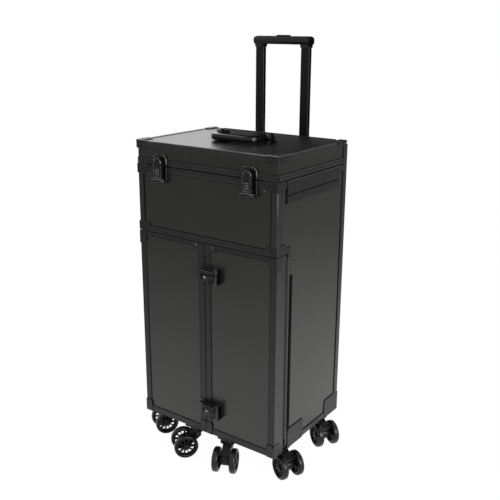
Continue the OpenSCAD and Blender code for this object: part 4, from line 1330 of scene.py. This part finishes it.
@dataclass
class EdgeHighlights:
    """Painted highlights: bright metal beads along the upper edges of the lid and of the side rails, where
    light catches their rounded edges. In mm.

    The lid's front bead is two bars: front holds its left end, where they meet, and its right end.
    """

    at: Layout
    radius: float = 0.9
    sunk: float = 0.5
    rail_sunk: float = 0.6
    rail_in: float = 0.5
    front: tuple[float, float, float] = (-156.0, -27.5, 156.5)
    side: Span = (-100.0, 86.0)
    plate_start: float = 158.0
    plate_end: float = -101.5

    def bead(self, a: Sequence[float], b: Sequence[float]) -> Shape:
        """A thin round bar: a circle carried along a straight line.

        Args:
            a: one end, in mm.
            b: the other end, in mm.

        Returns:
            The bar.
        """
        ends = np.array([a, b], float)
        side = np.cross(ends[1] - ends[0], (0, 0, 1))
        return carried(self.radius * circle(10) * MM, ends * MM, side / np.linalg.norm(side))

    def build(self) -> None:
        """Highlight beads along the front and both sides, stepping out over the brackets, and along both
        rails.
        """
        at, sunk = self.at, self.sunk
        x, y, z = at.trim_x - sunk, at.trim_front + sunk, at.lid_top - sunk
        out_x, out_y, out_z = at.plate_x - sunk, at.plate_front + sunk, at.lid_plate - sunk
        left, meet, right = self.front
        made = self.bead((meet, y, z), (right, y, z)) + self.bead((left, y, z), (meet, y, z))
        for s in HALVES:
            made += self.bead((s * x, self.side[0], z), (s * x, self.side[1], z))
            made += self.bead((s * out_x, out_y, out_z), (s * out_x, self.plate_end, out_z))
            made += self.bead((s * self.plate_start, out_y, out_z), (s * out_x, out_y, out_z))
        # Bright beads of painted highlight on the lid's edges
        piece("lid_edge_highlights", made, Kit.BEAD_HIGHLIGHT, "lid")
        x, z = at.rail_x - self.rail_sunk, at.rail_z[1] - self.rail_sunk
        start, stop = at.rail_y[0] + self.rail_in, at.rail_y[1] - self.rail_in
        rails = [self.bead((s * x, start, z), (s * x, stop, z)) for s in HALVES]
        # Beads of painted highlight on the rails' upper edges
        piece("rail_edge_highlights", rails[0] + rails[1], Kit.EDGE, "cabinet")


@dataclass
class DoorLatches:
    """The door latches' levers: a lock plate with a key barrel, and painted shade in the grooves of roll and
    finger and under the lever.

    In mm. Depths are measured from the lever's front, and the first groove of the finger from its lower
    end. square, facing and down are shares of a face's normal along an axis.
    """

    solids: Solids
    barrel_z: dict[str, float] = field(default_factory=lambda: {"upper": 458.0, "lower": 140.0})
    barrel_x: float = 9.6
    barrel_r: float = 2.9
    barrel_out: float = 1.3
    barrel_sunk: float = 0.5
    keyway_w: float = 0.8
    keyway_h: float = 2.8
    keyway_r: float = 0.3
    keyway_z: Span = (0.2, 0.85)
    keyway_edge: float = 0.1
    plate: float = 10.0
    behind: float = 9.0
    roll: float = 7.0
    floor: float = 6.8
    bent_front: float = 6.0
    bent_top: float = 4.8
    bent_low: float = -1.5
    finger: float = 3.0
    first: float = 5.0
    pitch: float = 3.5
    groove: float = 1.0
    grooves: int = 3
    square: float = 0.9
    facing: float = 0.5
    down: float = 0.15

    def paint(self, node: str) -> None:
        """Paints a lever: a grey lock plate, and black painted shade in its grooves and on the faces that
        look down.

        The roll is a quarter cylinder along X, so a face of it that lies nearer to its axis than the skin
        is in a groove. The finger's grooves are cylinders along X, and a face near one of their axes is in
        it. The grooves and the faces that look down get black as painted shade.

        Args:
            node: the lever's name.
        """
        middles, normals = self.solids.faces(node)
        low, high = (np.array(corner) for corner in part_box(node))
        y, z = (middles[:, Y] - low[Y]) / MM, middles[:, Z]
        self.solids.paint(node, Kit.TRIM, (normals[:, Y] < -self.square) & (y > self.behind))
        above = (z - high[Z]) / MM + self.roll
        bent = ((np.hypot(y - self.roll, above) < self.floor)
                & ((y < self.bent_front) | (above > self.bent_top)))
        rows = self.first + self.pitch * np.arange(self.grooves)
        up = (z - low[Z])[:, None] / MM - rows
        cut = (np.hypot((y - self.finger)[:, None], up) < self.groove).any(1)
        under = (normals[:, Z] < -self.down) & (y < self.behind)
        end = np.abs(normals[:, X]) > self.facing
        # Grooves and downward faces are painted black as painted shade
        self.solids.paint(node, Kit.BLACK_SHADE, ((bent & (above > self.bent_low)) | cut | under) & ~end)

    def barrel(self) -> Shape:
        """A turned ring with a sunk middle, from the rim inwards and down to the floor of the keyway.

        Returns:
            The barrel, with its axis along z.
        """
        r, h = self.barrel_r * MM, self.barrel_out * MM
        return lathe([(r, -self.barrel_sunk * MM), (r, 0.7 * h), (0.9 * r, h), (0.72 * r, h),
                      (0.66 * r, 0.55 * h), (0.1 * r, 0.55 * h)], steps=28)

    def build(self) -> None:
        """Paints each lever and sets its barrel, with a black keyway of painted shade in its hollow."""
        outline = rounded(self.keyway_w * MM, self.keyway_h * MM, self.keyway_r * MM)
        keyway_shade = slab(outline, self.keyway_z[0] * MM, self.keyway_z[1] * MM, self.keyway_edge * MM)
        for name, z in self.barrel_z.items():
            lever = f"door_latch_lever_{name}"
            self.paint(lever)
            place = Side.FRONT.place(span(lever, Y)[0] + self.plate, self.barrel_x, z)
            piece(f"lock_barrel_{name}", self.barrel().placed(place), Kit.LOCK, lever)
            # The keyway is a black sheet of painted shade in the barrel's hollow
            piece(f"keyway_{name}", keyway_shade.placed(place), Kit.BLACK_SHADE, lever)


@dataclass
class Casters:
    """The wheels' three finishes and their axle caps. In mm."""

    solids: Solids
    joints: list[dict[str, Any]]
    places: tuple[str, ...] = ("front_left", "front_right", "back_left", "back_right",
                               "door_left", "door_right")
    core_r: float = 22.8
    flat: float = 0.8
    axle_r: float = 3.2
    cap_r: float = 5.2
    cap_h: float = 1.6
    cap_sunk: float = 0.5
    cap_at: float = 26.0

    def build(self) -> None:
        """Finishes each pair of wheels.

        A face's distance from the axle tells what it is: tyre outside the core, wheel core inside it, and
        the axle in the middle. The tyre's flat sides are as dull as the core.
        """
        axes = {joint["name"]: np.array(joint["axis"], float) for joint in self.joints}
        for place in self.places:
            node = f"caster_wheels_{place}"
            axis = axes[f"caster_{place}_roll"]
            low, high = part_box(node)
            middle = np.array((low + high) / 2)
            solid = self.solids.nodes[node]
            solid.data.materials.clear()
            for finish in (Kit.TYRE, Kit.HUB, Kit.PLATED):
                solid.data.materials.append(finish.material())
            centres, normals = self.solids.faces(node)
            arm = centres - middle
            reach = np.linalg.norm(arm - np.outer(arm @ axis, axis), axis=1)
            tread = (reach > self.core_r * MM) & (np.abs(normals @ axis) < self.flat)
            kind = np.where(tread, 0, np.where(reach > self.axle_r * MM, 1, 2))
            solid.data.polygons.foreach_set("material_index", kind.astype(np.int32))
            self.caps(place, middle, axis)

    def caps(self, place: str, middle: np.ndarray, axis: np.ndarray) -> None:
        """Two domed caps on the hubs of a pair of wheels.

        Args:
            place: where their caster is, in words.
            middle: the middle of their axle.
            axis: the axle's direction.
        """
        cap = dome(self.cap_r, self.cap_h, self.cap_sunk, share=0.95, steps=18)
        ends = []
        for s in HALVES:
            out = s * axis
            across = np.cross((0, 0, 1), out)
            made = np.eye(4)
            made[:3, :3] = np.stack([across, np.cross(out, across), out], 1)
            made[:3, 3] = middle + out * self.cap_at * MM
            ends.append(made)
        piece(f"axle_caps_{place}", cap.copies(ends), Kit.HUB, f"caster_wheels_{place}")


# The studio


def posed(made: bpy.types.Object, axes: Sequence[np.ndarray], place: Sequence[float]) -> None:
    """Puts an object in the scene with its x, y and z axes and its place."""
    made.matrix_world = Matrix([[*row, p] for row, p in zip(np.stack(axes, 1), place)] + [[0, 0, 0, 1]])
    bpy.context.scene.collection.objects.link(made)


@dataclass(frozen=True)
class Lamp:
    """A square soft lamp: its place, the point that it faces, its side in metres and its power in watts."""

    name: str
    place: Point
    aim: Point
    size: float
    power: float

    def build(self) -> None:
        """Sets up the lamp, with its upper edge level."""
        data = bpy.data.lights.new(self.name, "AREA")
        data.size, data.energy = self.size, self.power
        back = np.array(self.place) - np.array(self.aim)
        back = back / np.linalg.norm(back)
        right = np.cross((0, 0, 1), back)
        right = right / np.linalg.norm(right)
        posed(bpy.data.objects.new(self.name, data), (right, np.cross(back, right), back), self.place)


@dataclass
class Studio:
    """Camera, floor and light. Lengths are in metres, angles in degrees, and the lens and its sensor in mm.

    The eye lies at aside, above and away times the case's height from its middle. Tones run from 0 to 1,
    and glow is the share of the floor that shines where it is seen.
    """

    lens: float = 52.69
    sensor: float = 36.0
    clip: float = 50.0
    azimuth: float = 35.49
    elevation: float = 16.97
    roll: float = 0.31
    height: float = 0.657
    under: float = 0.075
    aside: float = 0.026
    above: float = 0.111
    away: float = 2.584
    fill: float = 0.4
    floor_half: float = 12.0
    floor_tone: float = 0.9
    glow: float = 0.94
    glow_at: Span = (0.1, 0.0)
    glow_near: float = 1.0
    glow_far: float = 0.2
    reach: float = 1.45
    white: float = 1.04
    card_tone: float = 0.03
    card_low: Point = (-0.26, 0.24, 0.74)
    card_size: Span = (1.2, 1.0)
    lamps: tuple[Lamp, ...] = (Lamp("key lamp", (2.6, -0.9, 1.3), (0, 0, 0.4), 1.6, 60),
                               Lamp("back lamp", (-1.6, 1.6, 2.0), (0, 0, 0.6), 1.8, 10))

    def camera(self) -> None:
        """Puts the camera at the photograph's viewing angle.

        Its back axis comes from the azimuth and elevation, its right axis is level, and both are then
        rolled.
        """
        a, e, r = (math.radians(v) for v in (self.azimuth, self.elevation, self.roll))
        back = np.array([math.sin(a) * math.cos(e), -math.cos(a) * math.cos(e), math.sin(e)])
        level = np.array([math.cos(a), math.sin(a), 0.0])
        up = np.cross(back, level)
        right = math.cos(r) * level + math.sin(r) * up
        up = math.cos(r) * up - math.sin(r) * level
        middle = np.array([0, 0, self.under + self.height / 2])
        eye = middle + self.height * (self.aside * right + self.above * up + self.away * back)
        data = bpy.data.cameras.new("camera")
        data.lens, data.sensor_width, data.clip_end = self.lens, self.sensor, self.clip
        made = bpy.data.objects.new("camera", data)
        posed(made, (right, up, back), eye)
        bpy.context.scene.camera = made

    def sheet(self, name: str, points: np.ndarray, paint: bpy.types.Material) -> bpy.types.Object:
        """A sheet of the studio.

        Args:
            name: its name.
            points: a grid of points, (row, column, 3).
            paint: its material.

        Returns:
            The new object.
        """
        mesh = bpy.data.meshes.new(name)
        mesh.from_pydata(points.reshape(-1, 3).tolist(), [], grid_faces(*points.shape[:2]).tolist())
        mesh.materials.append(paint)
        made = bpy.data.objects.new(name, mesh)
        bpy.context.scene.collection.objects.link(made)
        return made

    def floor(self) -> None:
        """A pale floor, seen as white and still in shadow under the case.

        What glossy surfaces see of it is brightest near the case and fades with the distance r from glow_at
        as far + (near - far) * exp(-(r / reach)^2), as a floor under one soft lamp does.
        """
        paint, graph = blank("pale floor")
        coords = graph.node("ShaderNodeTexCoord", {}, {}, "Object")
        offset = graph.node("ShaderNodeVectorMath", {"operation": "SUBTRACT"},
                            {0: coords, 1: (*self.glow_at, 0.0)})
        far = graph.node("ShaderNodeVectorMath", {"operation": "LENGTH"}, {0: offset}, "Value")
        ratio = far * (1.0 / self.reach)
        fade = graph.node("ShaderNodeMath", {"operation": "POWER"}, {0: math.e, 1: 0 - ratio * ratio})
        mirror = self.glow_far + fade * (self.glow_near - self.glow_far)
        camera = graph.node("ShaderNodeLightPath", {}, {}, "Is Camera Ray")
        strength = mirror + camera * (self.white - mirror)
        matt = graph.node("ShaderNodeBsdfDiffuse", {}, {"Color": (*[self.floor_tone] * 3, 1)})
        glow = graph.node("ShaderNodeEmission", {}, {"Color": (1, 1, 1, 1), "Strength": strength})
        both = graph.node("ShaderNodeMixShader", {}, {0: self._seen(graph) * self.glow, 1: matt, 2: glow})
        graph.node("ShaderNodeOutputMaterial", {}, {"Surface": both})
        t = np.linspace(-1, 1, 9) * self.floor_half
        x, y = np.meshgrid(t, t, indexing="ij")
        self.sheet("floor", np.stack([x, y, 0 * x], -1), paint)

    def card(self) -> None:
        """A dark card that only mirrors see, upright along X, to shade the reflection in the lid."""
        paint, graph = blank("dark card")
        matt = graph.node("ShaderNodeBsdfDiffuse", {}, {"Color": (*[self.card_tone] * 3, 1)})
        graph.node("ShaderNodeOutputMaterial", {}, {"Surface": matt})
        t = np.linspace(0, 1, 5)
        left, depth, foot = self.card_low
        x, z = np.meshgrid(left + self.card_size[0] * t, foot + self.card_size[1] * t, indexing="ij")
        made = self.sheet("dark card", np.stack([x, 0 * x + depth, z], -1), paint)
        made.visible_camera = made.visible_shadow = made.visible_diffuse = False

    def _seen(self, graph: Graph) -> Wire:
        """Tells the rays that are seen from those that only light.

        Args:
            graph: the graph that gets the nodes.

        Returns:
            1 for a ray that the camera or a mirror sees, and 0 for one that only lights.
        """
        rays = [graph.node("ShaderNodeLightPath", {}, {}, name)
                for name in ("Is Camera Ray", "Is Glossy Ray", "Is Transmission Ray")]
        return graph.node("ShaderNodeMath", {"operation": "ADD", "use_clamp": True},
                          {0: rays[0] + rays[1], 1: rays[2]})

    def world(self) -> None:
        """A white surround for what is seen, and a dimmer one for what it lights."""
        made = bpy.data.worlds.new("surround")
        bpy.context.scene.world = made
        made.use_nodes = True
        graph = Graph(made.node_tree)
        power = self._seen(graph) * (1.0 - self.fill) + self.fill
        glow = graph.node("ShaderNodeBackground", {}, {"Color": (1, 1, 1, 1), "Strength": power})
        graph.node("ShaderNodeOutputWorld", {}, {"Surface": glow})

    def build(self) -> None:
        """Sets up the whole studio."""
        bpy.context.scene.view_settings.view_transform = "Standard"
        self.camera()
        self.floor()
        self.world()
        for lamp in self.lamps:
            lamp.build()
        self.card()


def main(frame: dict[str, Any]) -> None:
    """Builds the studio, dresses the solids and adds the finer pieces.

    Args:
        frame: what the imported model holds.
    """
    logging.basicConfig(level=logging.INFO, format="%(message)s")
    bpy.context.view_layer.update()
    Studio().build()
    solids, at = Solids(frame["nodes"]), Layout()
    for node in frame["nodes"]:
        if "wheels" not in node:
            solids.dress(node)
    for part in (Boards(solids), Casters(solids, frame["joints"]), Fasteners(at), ShadeLines(at), CarryHandle(),
                 LatchRims(), EdgeHighlights(at), DoorLatches(solids)):
        part.build()


if __name__ == "__main__":
    main(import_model())
